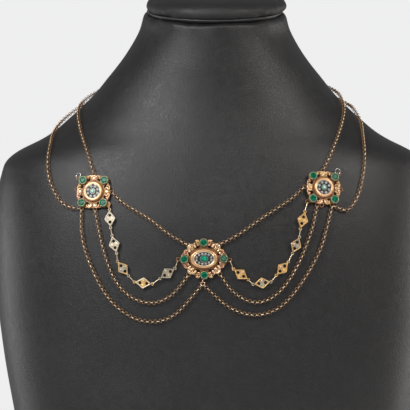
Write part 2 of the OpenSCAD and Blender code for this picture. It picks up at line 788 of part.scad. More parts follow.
// A long link on its edge between two rings' centres. Its straight sides are cut to a hundredth of a
// millimetre, so that they meet its bends exactly.
module oval_link(a, b, hold_a, hold_b) {
    way = unit(b - a);
    half = round(50 * (norm(b - a) - hold_a - hold_b) - 100 * oval_half_w) / 100;
    middle = (a + hold_a * way + b - hold_b * way) / 2;
    n = outward(middle);
    color("peru") multmatrix(frame_at(middle, way, unit(cross(way, n)))) {
        for (turn = [-90, 90])
            rotate([0, 0, turn]) translate([0, half, 0])
                rotate_extrude(angle = 180) translate([oval_half_w, 0]) circle(d = oval_wire);
        for (side = [-1, 1])
            translate([-half, side * oval_half_w, 0])
                rotate([0, 90, 0]) cylinder(d = oval_wire, h = 2 * half);
    }
}

// The links between one side's lozenges, from the side plaque to the centre plaque
module lozenge_links(strand) {
    last = len(strand[0]) - 1;
    if (!strand[3]) oval_link(strand[1], eye_point(strand, 0, -1), ring_hold, eye_hold);
    for (i = [0:last - 1])
        oval_link(eye_point(strand, i, 1), eye_point(strand, i + 1, -1), eye_hold, eye_hold);
    oval_link(eye_point(strand, last, 1), strand[2], eye_hold, ring_hold);
}

// A chain of round links that pass through each other, and through a ring at each end. It
// starts and ends with links on their edge, and twists a little in between.
module linked_chain(points) {
    m = measured(points);
    run = m[0] - 2 * link_lead;
    last = 2 * ceil(run / link_pitch / 2);
    color("peru")
        for (i = [0:last]) {
            roll = 90 * ((i + 1) % 2) + link_roll * sin(180 * i / last);
            multmatrix(route_frame(m, link_lead + run * i / last, roll)) hoop(link_r, link_wire);
        }
}

// A plain round tube in place of a long chain
module chain_tube(points, start_gap, end_gap) {
    m = measured(points);
    run = m[0] - start_gap - end_gap;
    last = ceil(run / tube_step);
    color("peru")
        loft([
            for (j = [0:last])
                let (f = route_frame(m, start_gap + run * j / last, 0))
                [
                    for (k = [0:tube_sides - 1])
                        let (angle = k * 360 / tube_sides)
                        placed(f, [0, -tube_d / 2 * sin(angle), tube_d / 2 * cos(angle)]),
                ],
        ]);
}

// The ring that hangs from the centre plaque and holds both outer swags
module festoon_ring() {
    color("goldenrod") multmatrix(CENTRE_FRAME) translate(FESTOON_PLACE) hoop(festoon_r, ring_wire);
}

// The clasp at the nape: one plain oval box with two loops at each end
module clasp() {
    color("goldenrod") multmatrix(CLASP_FRAME) {
        linear_extrude(clasp_t) oval_outline(clasp_half_w, clasp_half_h);
        linear_extrude(clasp_t + 0.5) oval_outline(clasp_half_w - 1.2, clasp_half_h - 1.2);
        for (x = [-1, 1], y = [-1, 1])
            translate([x * clasp_loop_x, y * clasp_row, clasp_t / 2]) hoop(ring_r, ring_wire);
    }
}

neck_bust();
neck_cap();
centre_plaque();
side_plaque(LEFT_FRAME, LEFT_RINGS, concat(SIDE_BOSSES, [LEFT_BOSS]));  // left_plaque
side_plaque(RIGHT_FRAME, RIGHT_RINGS, SIDE_BOSSES);  // right_plaque
cluster(CENTRE_FRAME, cluster_w, cluster_h, middle_w, middle_h, centre_chips);  // centre_cluster
cluster(LEFT_FRAME, cluster_r, cluster_r, middle_r, middle_r, side_chips);  // left_cluster
cluster(RIGHT_FRAME, cluster_r, cluster_r, middle_r, middle_r, side_chips);  // right_cluster
diamonds(CENTRE_FRAME, cluster_w, cluster_h, centre_chips);  // centre_diamonds
diamonds(LEFT_FRAME, cluster_r, cluster_r, side_chips);  // left_diamonds
diamonds(RIGHT_FRAME, cluster_r, cluster_r, side_chips);  // right_diamonds
middle_emerald(CENTRE_FRAME, middle_w, middle_h);  // centre_emerald
middle_emerald(LEFT_FRAME, middle_r, middle_r);  // left_emerald
middle_emerald(RIGHT_FRAME, middle_r, middle_r);  // right_emerald
for (i = [0:3]) {
    edge_emerald(CENTRE_FRAME, CENTRE_STONES[i]);
    edge_emerald(LEFT_FRAME, SIDE_STONES[i]);
    edge_emerald(RIGHT_FRAME, SIDE_STONES[i]);
}
for (i = [0:4]) {
    lozenge(lozenge_frame(LEFT_STRAND, i));
    lozenge(lozenge_frame(RIGHT_STRAND, i));
}
lozenge_links(LEFT_STRAND);  // left_lozenge_links
lozenge_links(RIGHT_STRAND);  // right_lozenge_links
festoon_ring();
clasp();
linked_chain(route(left_ring(COLLAR_RING), LEFT_COLLAR, centre_ring(CENTRE_COLLAR[0])));  // left_collar
linked_chain(route(right_ring(COLLAR_RING), RIGHT_COLLAR, centre_ring(CENTRE_COLLAR[1])));  // right_collar
linked_chain(route(left_ring(INNER_RING), LEFT_INNER, centre_ring(CENTRE_INNER[0])));  // left_inner_swag
linked_chain(route(right_ring(INNER_RING), RIGHT_INNER, centre_ring(CENTRE_INNER[1])));  // right_inner_swag
chain_tube(route(left_ring(OUTER_RING), LEFT_OUTER, FESTOON_POINT), tube_lead, festoon_lead);  // left_outer_swag
chain_tube(route(right_ring(OUTER_RING), RIGHT_OUTER, FESTOON_POINT), tube_lead, festoon_lead);  // right_outer_swag
chain_tube(route(left_ring(OUTER_RING), LEFT_SHOULDER, clasp_loop(1, -1)), tube_lead, tube_lead);  // left_shoulder_swag
chain_tube(route(right_ring(OUTER_RING), RIGHT_SHOULDER, clasp_loop(-1, -1)), tube_lead, tube_lead);  // right_shoulder_swag
chain_tube(route(left_ring(TOP_RING), LEFT_BACK, clasp_loop(1, 1)), tube_lead, tube_lead);  // left_back_chain
chain_tube(route(right_ring(TOP_RING), RIGHT_BACK, clasp_loop(-1, 1)), tube_lead, tube_lead);  // right_back_chain
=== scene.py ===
"""Dresses the festoon necklace and its bust: leatherette, gold, stones, chain links, floor and light.

Everything is in metres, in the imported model's own frame: +Z is up and the front faces -Y.
"""

from __future__ import annotations

import json
import logging
import math
from collections.abc import Callable, Iterable, Mapping, Sequence
from dataclasses import dataclass, field, replace
from enum import Enum
from typing import Any, Union

import bmesh
import bpy
from bmesh.types import BMEdge, BMesh, BMVert
from bpy.types import Material, Mesh, Node, NodeSocket, NodeTree, Object
from mathutils import Matrix, Vector, noise
from mathutils.bvhtree import BVHTree

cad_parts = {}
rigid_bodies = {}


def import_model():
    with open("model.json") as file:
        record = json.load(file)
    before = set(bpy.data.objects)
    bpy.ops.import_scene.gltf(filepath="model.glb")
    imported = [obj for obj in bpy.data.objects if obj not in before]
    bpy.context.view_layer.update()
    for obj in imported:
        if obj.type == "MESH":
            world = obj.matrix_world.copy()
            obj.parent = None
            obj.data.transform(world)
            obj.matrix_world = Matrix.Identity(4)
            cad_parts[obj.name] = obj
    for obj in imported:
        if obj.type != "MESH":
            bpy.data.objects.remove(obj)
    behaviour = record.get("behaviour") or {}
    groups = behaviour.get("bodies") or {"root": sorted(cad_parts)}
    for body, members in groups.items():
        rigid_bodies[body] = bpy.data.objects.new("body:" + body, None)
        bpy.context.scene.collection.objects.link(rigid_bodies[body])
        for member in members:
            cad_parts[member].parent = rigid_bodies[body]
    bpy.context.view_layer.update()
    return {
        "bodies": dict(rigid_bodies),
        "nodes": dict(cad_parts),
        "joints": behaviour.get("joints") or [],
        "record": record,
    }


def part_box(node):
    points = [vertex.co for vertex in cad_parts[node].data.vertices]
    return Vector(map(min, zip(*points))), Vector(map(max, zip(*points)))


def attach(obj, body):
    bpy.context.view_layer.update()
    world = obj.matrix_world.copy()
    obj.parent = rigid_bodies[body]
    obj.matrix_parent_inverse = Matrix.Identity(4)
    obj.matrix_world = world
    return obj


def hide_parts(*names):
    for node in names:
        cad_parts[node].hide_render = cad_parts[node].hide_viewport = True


LOG = logging.getLogger("necklace")
MM = 0.001
RISE = "rise"
BODY = "root"
SIDES = ("left", "right")
Colour = tuple[float, float, float]
Nodes = Mapping[str, Object]


class Slot(Enum):
    """The record's material slots."""

    LEATHERETTE = "leatherette"
    ROSE_GOLD = "rose_gold"
    YELLOW_GOLD = "yellow_gold"
    CHAIN_GOLD = "chain_gold"
    SILVER = "silver"
    EMERALD = "emerald"
    DIAMOND = "diamond"


class Tone(Enum):
    """The tones of the lozenges and their bosses."""

    CREAM = "cream"
    PALE = "pale"
    ORANGE = "orange"
    TARNISHED = "tarnished"
    VIOLET = "violet"
    GREENISH = "greenish"
    PINK = "pink"


def operator(operation: str, reflected: bool = False) -> Callable[[Value, Number], Value]:
    """Make one of Value's operators.

    Args:
        operation: the Math node's operation.
        reflected: whether the value stands on the operator's right.

    Returns:
        The method, which adds a Math node and returns its result.
    """

    def method(self: Value, other: Number) -> Value:
        """Add one Math node and return its result."""
        first, second = (other, self) if reflected else (self, other)
        return self.graph.value("ShaderNodeMath", 0, {"operation": operation}, {0: first, 1: second})

    return method


class Value:
    """A number in a shader. Python's operators on it add Math nodes."""

    def __init__(self, graph: Graph, socket: NodeSocket) -> None:
        """Wrap one output socket of a graph's node."""
        self.graph = graph
        self.socket = socket

    __add__, __radd__ = operator("ADD"), operator("ADD", reflected=True)
    __sub__, __rsub__ = operator("SUBTRACT"), operator("SUBTRACT", reflected=True)
    __mul__, __rmul__ = operator("MULTIPLY"), operator("MULTIPLY", reflected=True)

    def step(self, low: float, high: float) -> Value:
        """Ease the value from 0 at low to 1 at high.

        Args:
            low: the value that gives 0.
            high: the value that gives 1.

        Returns:
            The eased value, held between 0 and 1.
        """
        return self.graph.value(
            "ShaderNodeMapRange",
            "Result",
            {"interpolation_type": "SMOOTHSTEP", "clamp": True},
            {"Value": self, "From Min": low, "From Max": high, "To Min": 0.0, "To Max": 1.0},
        )


Number = Union[float, Value]


class Graph:
    """A node tree under construction."""

    def __init__(self, tree: NodeTree) -> None:
        """Take the tree that the nodes go into."""
        self.tree = tree

    def fill(self, socket: NodeSocket, value: Any) -> None:
        """Link or set one input socket.

        Args:
            socket: the input.
            value: a Value, an output socket, a colour or a plain setting.
        """
        if isinstance(value, Value):
            value = value.socket
        if isinstance(value, NodeSocket):
            self.tree.links.new(value, socket)
        elif isinstance(value, tuple) and len(value) == 3 and socket.type == "RGBA":
            socket.default_value = (*value, 1.0)
        else:
            socket.default_value = value

    def node(
        self,
        kind: str,
        settings: Mapping[str, Any] | None = None,
        inputs: Mapping[Union[str, int], Any] | None = None,
    ) -> Node:
        """Add one node.

        Args:
            kind: the node's type, such as ShaderNodeTexNoise.
            settings: its settings, which are set first.
            inputs: the values or links of its sockets, by name or place.

        Returns:
            The new node.
        """
        node = self.tree.nodes.new(kind)
        for key, value in (settings or {}).items():
            setattr(node, key, value)
        for key, value in (inputs or {}).items():
            self.fill(node.inputs[key], value)
        return node

    def value(self, kind: str, output: Union[str, int], settings: Any = None, inputs: Any = None) -> Value:
        """Add one node, as node() does, and return one of its outputs as a number."""
        return Value(self, self.node(kind, settings, inputs).outputs[output])


class Shader(Graph):
    """A material under construction, round its Principled shader."""

    def __init__(self, name: str, constants: Mapping[str, Any]) -> None:
        """Start a material.

        Args:
            name: the material's name.
            constants: the values of the Principled shader's sockets that are the same all over.
        """
        self.material = bpy.data.materials.new(name)
        self.material.use_nodes = True
        super().__init__(self.material.node_tree)
        self.principled = self.tree.nodes["Principled BSDF"]
        for key, value in constants.items():
            self.fill(self.principled.inputs[key], value)

    def place(self) -> NodeSocket:
        """Return the Object coordinates."""
        return self.node("ShaderNodeTexCoord").outputs["Object"]

    def noise(self, size: float, detail: float = 3.0, rough: float = 0.55) -> Value:
        """Return smooth noise between 0 and 1, with lumps of a size and finer layers over them."""
        inputs = {"Vector": self.place(), "Scale": 1 / size, "Detail": detail, "Roughness": rough}
        return self.value("ShaderNodeTexNoise", "Fac", None, inputs)

    def cells(self, size: float, feature: str) -> Value:
        """Return the distance to a cell's middle (F1) or to its edge (DISTANCE_TO_EDGE)."""
        inputs = {"Vector": self.place(), "Scale": 1 / size}
        return self.value("ShaderNodeTexVoronoi", "Distance", {"feature": feature}, inputs)

    def height(self, out: Vector) -> Value:
        """Return the distance from the origin along a direction."""
        inputs = {0: self.place(), 1: tuple(out)}
        return self.value("ShaderNodeVectorMath", "Value", {"operation": "DOT_PRODUCT"}, inputs)

    def level(self, seat: Matrix) -> Value:
        """Return the height above a seat's plane."""
        out = seat.col[2].xyz
        return self.height(out) - seat.translation.dot(out)

    def attribute(self, name: str) -> Value:
        """Return one of the mesh's own numbers."""
        return self.value("ShaderNodeAttribute", "Fac", {"attribute_name": name})

    def openness(self, reach: float) -> Value:
        """Return 1 where the surface is open, less in hollows no wider than the reach."""
        settings = {"samples": 8, "only_local": True}
        return self.value("ShaderNodeAmbientOcclusion", "AO", settings, {"Distance": reach})

    def blend(self, mask: Number, first: Any, second: Any) -> NodeSocket:
        """Mix two colours or colour sockets: the first where the mask is 0, the second where it is 1."""
        settings = {"data_type": "RGBA", "clamp_factor": True}
        return self.node("ShaderNodeMix", settings, {0: mask, 6: first, 7: second}).outputs[2]

    def relief(self, height: Value, depth: float, strength: float) -> None:
        """Feed a bump to the shader's normal.

        Args:
            height: the relief, from 0 to 1.
            depth: how high 1 stands, in metres.
            strength: how much of it shows.
        """
        node = self.node("ShaderNodeBump", None, {"Height": height, "Distance": depth, "Strength": strength})
        self.fill(self.principled.inputs["Normal"], node.outputs["Normal"])

    def feed(self, **sockets: Any) -> None:
        """Link the Principled shader's sockets. Spaces in their names are written as underscores."""
        for key, value in sockets.items():
            self.fill(self.principled.inputs[key.replace("_", " ")], value)


@dataclass(frozen=True)
class Leatherette:
    """Black grained leatherette, drawn tight over padding."""

    name: str = "black_leatherette"
    base: Colour = (0.0150, 0.0144, 0.0147)
    rubbed: Colour = (0.028, 0.027, 0.0274)
    pore: Colour = (0.014, 0.0134, 0.0138)
    grain: float = 0.85 * MM
    crease: float = 0.32
    grain_depth: float = 0.10 * MM
    fine_grain: float = 0.32 * MM
    scuff: float = 3.2 * MM
    mottle: float = 26 * MM
    rubbing: float = 0.6
    roughness: float = 0.43
    roughness_swing: float = 0.28
    pore_gloss: float = 0.06
    seam: float | None = None
    seam_fade: tuple[float, float] = (0.5 * MM, 7 * MM)
    painted_seam_shade: Colour = (0.010, 0.0096, 0.010)
    seam_dulling: float = 0.30
    lean: Vector = Vector((0, -math.sin(math.radians(10)), math.cos(math.radians(10))))

    def material(self) -> Material:
        """Build the material.

        Returns:
            The material.
        """
        s = Shader(self.name, {"Specular IOR Level": 0.52, "Sheen Weight": 0.02, "Sheen Roughness": 0.5})
        pores = s.cells(self.grain, "DISTANCE_TO_EDGE").step(0.0, self.crease)
        fine = s.noise(self.fine_grain, 2.0)
        broad = s.noise(self.mottle)
        scuffs = s.noise(self.scuff, 4.0, 0.65)
        tone = (broad * 0.5 + scuffs * 0.5).step(0.40, 0.66)
        colour = s.blend(tone * self.rubbing, self.base, self.rubbed)
        colour = s.blend(pores * 0.55 + 0.45, self.pore, colour)
        rough = self.roughness + (scuffs - 0.5) * self.roughness_swing - pores * self.pore_gloss
        # With a seam, painted shade: the colour darkens towards the seam, low on the stuffed pad, and the
        # roughness rises there.
        if self.seam is not None:
            rise = (s.height(self.lean) - self.seam).step(*self.seam_fade)
            colour = s.blend(rise, self.painted_seam_shade, colour)
            rough = rough + (1 - rise) * self.seam_dulling
        s.feed(Base_Color=colour, Roughness=rough)
        s.relief(pores * 0.7 + fine * 0.3, self.grain_depth, 0.7)
        return s.material


@dataclass(frozen=True)
class WornMetal:
    """Cast and chased precious metal, bright where it is rubbed and dark in its hollows. The dark in the
    hollows is patina and painted shade together; the bright on open, raised parts is wear and painted
    highlight together.
    """

    name: str
    bright: Colour
    body: Colour
    tint: Colour
    hollow: Colour
    roughness: float = 0.24
    roughness_swing: float = 0.12
    reach: float = 0.9 * MM
    dark_below: float = 0.42
    bright_above: float = 0.95
    chasing: float = 0.45 * MM
    chasing_depth: float = 0.05 * MM
    mottle: float = 4.5 * MM
    dulling: float = 0.3
    polish: float = 0.55
    metallic: float = 0.45
    lustre: float = 0.2
    crests: bool = False
    flank: float = 0.36
    crest_span: tuple[float, float] = (0.42, 0.95)
    seat: Matrix | None = None
    ground: float = 1.15 * MM
    crest: float = 1.75 * MM
    wander: float = 0.35 * MM
    sunk: float = 0.16

    def material(self) -> Material:
        """Build the material.

        Returns:
            The material.
        """
        s = Shader(self.name, {"IOR": 1.5})
        # Ambient occlusion darkens the colour in hollows and gaps: patina and painted shade together.
        open_share = s.openness(self.reach)
        fine = s.noise(self.chasing * 0.7, 3.0, 0.6)
        broad = s.noise(self.mottle, 2.0)
        wear_and_painted_shading = (open_share + (fine - 0.5) * 0.5).step(self.dark_below, self.bright_above)
        # With a seat, the plate's sunk ground is darker than its raised work: patina and painted shade
        # together.
        if self.seat:
            raised = (s.level(self.seat) + (fine - 0.5) * self.wander).step(self.ground, self.crest)
            wear_and_painted_shading = wear_and_painted_shading * (self.sunk + (1 - self.sunk) * raised)
        # With crests, painted light: bright on the parts that stand out furthest from the bust, painted shade
        # on the flanks.
        if self.crests:
            wear_and_painted_shading = wear_and_painted_shading * (self.flank + (1 - self.flank) * s.attribute(RISE).step(*self.crest_span))
        colour = s.blend(broad.step(0.38, 0.62), self.body, self.tint)
        # The bright colour on open parts is wear and painted highlight together; the hollow colour is patina
        # and painted shade together.
        colour = s.blend(wear_and_painted_shading.step(0.70, 1.0) * self.polish, colour, self.bright)
        colour = s.blend(wear_and_painted_shading, self.hollow, colour)
        chased = s.cells(self.chasing, "F1").step(0.0, 0.75)
        s.feed(
            Base_Color=colour,
            Metallic=self.metallic + wear_and_painted_shading * self.lustre,
            Roughness=self.roughness + (1 - wear_and_painted_shading) * self.dulling + (fine - 0.5) * self.roughness_swing,
        )
        s.relief(chased * 0.6 + fine * 0.4, self.chasing_depth, 0.6)
        return s.material


@dataclass(frozen=True)
class Gem:
    """A cut stone with clouds and veins inside it, and paler facets round its table, their colour a painted
    reflection.
    """

    name: str
    deep: Colour
    lit: Colour
    rim: Colour | None = None
    seat: Matrix | None = None
    table: float = 0.0
    facets: tuple[float, float] = (0.12 * MM, 0.02 * MM)
    cloud: float = 0.9 * MM
    ior: float = 1.58
    transmission: float = 0.2
    roughness: float = 0.13
    vein_dulling: float = 0.12

    def material(self) -> Material:
        """Build the material.

        Returns:
            The material.
        """
        constants = {"Specular IOR Level": 0.10, "Coat Weight": 0.02, "Coat Roughness": 0.10}
        s = Shader(self.name, {"IOR": self.ior, "Transmission Weight": self.transmission, **constants})
        cloud = s.noise(self.cloud, 3.0, 0.6).step(0.36, 0.66)
        veins = s.cells(self.cloud * 0.6, "DISTANCE_TO_EDGE").step(0.0, 0.12)
        colour = s.blend(cloud * 0.8 + (1 - veins) * 0.2, self.deep, self.lit)
        # The facets round the table take the rim colour: a painted reflection.
        if self.seat and self.rim:
            low, high = (self.table - drop for drop in self.facets)
            colour = s.blend(s.level(self.seat).step(low, high), self.rim, colour)
        s.feed(Base_Color=colour, Roughness=self.roughness + (1 - veins) * self.vein_dulling)
        return s.material


@dataclass(frozen=True)
class PlainFloor:
    """A pale, plain, matt studio floor that fades out into the pale surroundings."""

    name: str = "studio_floor"
    colour: Colour = (0.80, 0.80, 0.80)
    mottled: Colour = (0.74, 0.74, 0.74)
    solid_to: float = 0.3
    gone_at: float = 1.6

    def material(self) -> Material:
        """Build the material.

        Returns:
            The material.
        """
        s = Shader(self.name, {"Specular IOR Level": 0.2})
        mottle = s.noise(0.4, 2.0)
        away = s.value("ShaderNodeVectorMath", "Value", {"operation": "LENGTH"}, {0: s.place()})
        s.feed(
            Base_Color=s.blend(mottle * 0.08, self.colour, self.mottled),
            Roughness=0.8 + mottle * 0.1,
            Alpha=1 - away.step(self.solid_to, self.gone_at),
        )
        return s.material


LOZENGE_TONES = {
    Tone.CREAM: ((1.0, 0.94, 0.78), (1.0, 0.88, 0.64), (0.98, 0.82, 0.58)),
    Tone.PALE: ((0.96, 0.84, 0.62), (0.66, 0.54, 0.37), (0.56, 0.46, 0.34)),
    Tone.ORANGE: ((1.0, 0.72, 0.34), (0.98, 0.56, 0.17), (0.92, 0.48, 0.14)),
    Tone.TARNISHED: ((0.85, 0.72, 0.52), (0.44, 0.34, 0.22), (0.27, 0.25, 0.22)),
    Tone.VIOLET: ((0.66, 0.60, 0.68), (0.36, 0.30, 0.38), (0.25, 0.21, 0.30)),
    Tone.GREENISH: ((0.58, 0.66, 0.46), (0.30, 0.38, 0.22), (0.22, 0.28, 0.18)),
    Tone.PINK: ((1.0, 0.70, 0.54), (0.86, 0.48, 0.34), (0.80, 0.40, 0.30)),
}


SMOOTH, DRAWN, ROUGH = 0.003 * MM, 0.006 * MM, 0.01 * MM
SLOT_LOOKS = {
    Slot.LEATHERETTE: Leatherette(),
    Slot.ROSE_GOLD: WornMetal(
        "rose_gold_chased", (1.0, 0.72, 0.50), (0.83, 0.50, 0.24), (0.86, 0.47, 0.29), (0.07, 0.030, 0.012)
    ),
    Slot.YELLOW_GOLD: WornMetal(
        "yellow_gold_worn", (1.0, 0.80, 0.42), (0.90, 0.60, 0.20), (0.86, 0.52, 0.22), (0.10, 0.045, 0.012)
    ),
    Slot.CHAIN_GOLD: WornMetal(
        "chain_gold_dull", (1.0, 0.86, 0.64), (0.90, 0.66, 0.38), (0.84, 0.56, 0.30), (0.06, 0.03, 0.01),
        chasing_depth=SMOOTH,
    ),
    Slot.SILVER: WornMetal(
        "silver_ring", (0.95, 0.94, 0.90), (0.66, 0.65, 0.62), (0.55, 0.53, 0.50), (0.05, 0.045, 0.04),
        chasing_depth=DRAWN, lustre=0.5,
    ),
    Slot.EMERALD: Gem("emerald", (0.001, 0.055, 0.028), (0.015, 0.32, 0.17)),
    Slot.DIAMOND: Gem(
        "diamond_rose_cut", (0.46, 0.54, 0.50), (1.0, 0.97, 0.93), cloud=0.7 * MM, ior=2.2, transmission=0.3
    ),
}
ADDED_LOOKS = {
    # The chain is bright on its crests and near black in its hollows: wear, painted highlight and painted
    # shade together.
    "chain": WornMetal(
        "chain_gold_worn_on_its_crests",
        (1.0, 0.81, 0.57), (0.82, 0.46, 0.20), (0.72, 0.38, 0.17), (0.018, 0.008, 0.003),
        dark_below=0.50, bright_above=0.90, chasing_depth=SMOOTH,
        dulling=0.25, polish=1.0, lustre=0.12, crests=True,
    ),
    "lip": WornMetal(
        "collet_gold_greened",
        (0.42, 0.52, 0.36), (0.12, 0.24, 0.14), (0.14, 0.18, 0.09), (0.02, 0.03, 0.015),
        roughness=0.30, dark_below=0.2, bright_above=0.9, chasing_depth=ROUGH,
    ),
    "edge": WornMetal(
        "rose_gold_polished",
        (1.0, 0.86, 0.68), (0.93, 0.68, 0.44), (0.90, 0.58, 0.42), (0.30, 0.13, 0.05),
        roughness=0.20, dark_below=0.15, bright_above=0.75, chasing_depth=DRAWN,
    ),
    # Near-black edges round the pierced holes: painted shade in the holes.
    "hole": WornMetal(
        "rose_gold_tarnished",
        (0.035, 0.014, 0.007), (0.012, 0.005, 0.003), (0.010, 0.004, 0.002), (0.004, 0.002, 0.001),
        roughness=0.55, chasing_depth=ROUGH,
    ),
    "collar": WornMetal(
        "rose_gold_collar",
        (0.94, 0.64, 0.36), (0.74, 0.38, 0.14), (0.72, 0.34, 0.18), (0.16, 0.06, 0.02),
        roughness=0.30, dark_below=0.25, bright_above=0.95, chasing_depth=0.012 * MM,
    ),
}


class Finishes:
    """All the finishes, each built once."""

    def __init__(self) -> None:
        """Build every slot's material, and those of the added work and the lozenges."""
        self.by_slot = {slot: look.material() for slot, look in SLOT_LOOKS.items()}
        self.added = {part: look.material() for part, look in ADDED_LOOKS.items()}
        self.lozenge = {
            tone: WornMetal(
                "yellow_gold_" + tone.value, *colours, (0.16, 0.07, 0.02),
                roughness=0.36, dark_below=0.22, bright_above=0.85, chasing_depth=0.015 * MM,
            ).material()
            for tone, colours in LOZENGE_TONES.items()
        }

    def stones_of(self, name: str, seat: Matrix) -> tuple[Material, ...]:
        """Build the emeralds of one plaque, with paler facets round their tables, a painted reflection.

        Args:
            name: the plaque's side.
            seat: the plaque's own frame.

        Returns:
            The clear edge stones' material, the clouded ones' and the middle stone's.
        """
        green = ((0.001, 0.050, 0.025), (0.004, 0.29, 0.14), (0.010, 0.25, 0.13))
        cloudy = ((0.04, 0.16, 0.11), (0.15, 0.30, 0.22), (0.05, 0.17, 0.11))
        # The side plaques' middle stones are near white: a pale emerald with a painted highlight over it.
        middle = ((0.42, 0.86, 0.70), (0.92, 1.0, 0.96), (0.10, 0.50, 0.36))
        if name == "centre":
            middle = ((0.001, 0.16, 0.085), (0.05, 0.66, 0.42), (0.01, 0.30, 0.17))
        return (
            Gem(name + "_edge_emerald", *green, seat, 2.95 * MM).material(),
            Gem(name + "_edge_emerald_clouded", *cloudy, seat, 2.95 * MM).material(),
            Gem(name + "_middle_emerald", *middle, seat, 3.6 * MM).material(),
        )

    def on_plaque(self, name: str, seat: Matrix) -> tuple[Material, Material]:
        """Build the gold and the silver of one plaque, dark on their grounds.

        Args:
            name: the plaque's side.
            seat: the plaque's own frame.

        Returns:
            The gold and the silver.
        """
        gold = WornMetal(
            name + "_rose_gold",
            (1.0, 0.82, 0.55), (0.86, 0.50, 0.19), (0.86, 0.44, 0.26), (0.060, 0.022, 0.006),
            chasing_depth=0.03 * MM, seat=seat, sunk=0.30,
        )
        silver = WornMetal(
            name + "_silver_oxidised",
            (0.74, 0.74, 0.72), (0.34, 0.35, 0.33), (0.26, 0.23, 0.22), (0.014, 0.014, 0.013),
            roughness=0.38, seat=seat, ground=2.3 * MM, crest=2.9 * MM, reach=0.5 * MM, lustre=0.5,
        )
        return gold.material(), silver.material()

    def __getitem__(self, slot: Slot) -> Material:
        """Return a slot's material."""
        return self.by_slot[slot]


def as_mesh(bm: BMesh, name: str) -> Mesh:
    """Turn a bmesh into a mesh, and free it.

    Args:
        bm: the bmesh.
        name: the mesh's name.

    Returns:
        The mesh.
    """
    mesh = bpy.data.meshes.new(name)
    bm.to_mesh(mesh)
    bm.free()
    return mesh


def placed(name: str, data: bpy.types.ID) -> Object:
    """Put a new object in the scene, at the origin.

    Args:
        name: its name.
        data: its mesh, light or camera.

    Returns:
        The object.
    """
    item = bpy.data.objects.new(name, data)
    bpy.context.scene.collection.objects.link(item)
    return item


def finished(name: str, bm: BMesh, material: Material) -> Object:
    """Turn a bmesh into a piece that rides on the body.

    Args:
        name: the piece's name.
        bm: its shape, which is freed.
        material: its finish.

    Returns:
        The new object, at the origin.
    """
    bmesh.ops.recalc_face_normals(bm, faces=bm.faces)
    for face in bm.faces:
        face.smooth = True
    mesh = as_mesh(bm, name)
    mesh.materials.append(material)
    piece = placed(name, mesh)
    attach(piece, BODY)
    LOG.info("%s: %d faces", name, len(mesh.polygons))
    return piece


def merged_copy(node: Object) -> BMesh:
    """Copy a CAD node's mesh with its doubled points merged.

    Args:
        node: the CAD node's object.

    Returns:
        The copy, as a bmesh.
    """
    bm = bmesh.new()
    bm.from_mesh(node.data)
    bmesh.ops.remove_doubles(bm, verts=bm.verts, dist=0.001 * MM)
    return bm


def points_of(node: Object) -> list[Vector]:
    """List a CAD node's points, the doubled ones merged.

    Args:
        node: the CAD node's object.

    Returns:
        The points.
    """
    bm = merged_copy(node)
    points = [v.co.copy() for v in bm.verts]
    bm.free()
    return points


def mean(points: Sequence[Vector]) -> Vector:
    """Return the middle of some points."""
    return sum(points, Vector()) / len(points)


def seated(x: Vector, y: Vector, z: Vector, place: Vector) -> Matrix:
    """Return the frame at a place whose axes have these three directions."""
    return Matrix.Translation(place) @ Matrix((x, y, z)).transposed().to_4x4()


def refined(piece: Object, levels: int) -> None:
    """Subdivide a piece smoothly and keep the result in its mesh.

    Args:
        piece: the piece.
        levels: how many times each face is split.
    """
    modifier = piece.modifiers.new("smooth", "SUBSURF")
    modifier.levels = levels
    modifier.render_levels = levels
    applied(piece)


def applied(piece: Object) -> None:
    """Keep the result of a piece's modifiers in its mesh, and remove them.

    Args:
        piece: the piece.
    """
    depsgraph = bpy.context.evaluated_depsgraph_get()
    mesh = bpy.data.meshes.new_from_object(piece.evaluated_get(depsgraph))
    piece.modifiers.clear()
    piece.data = mesh


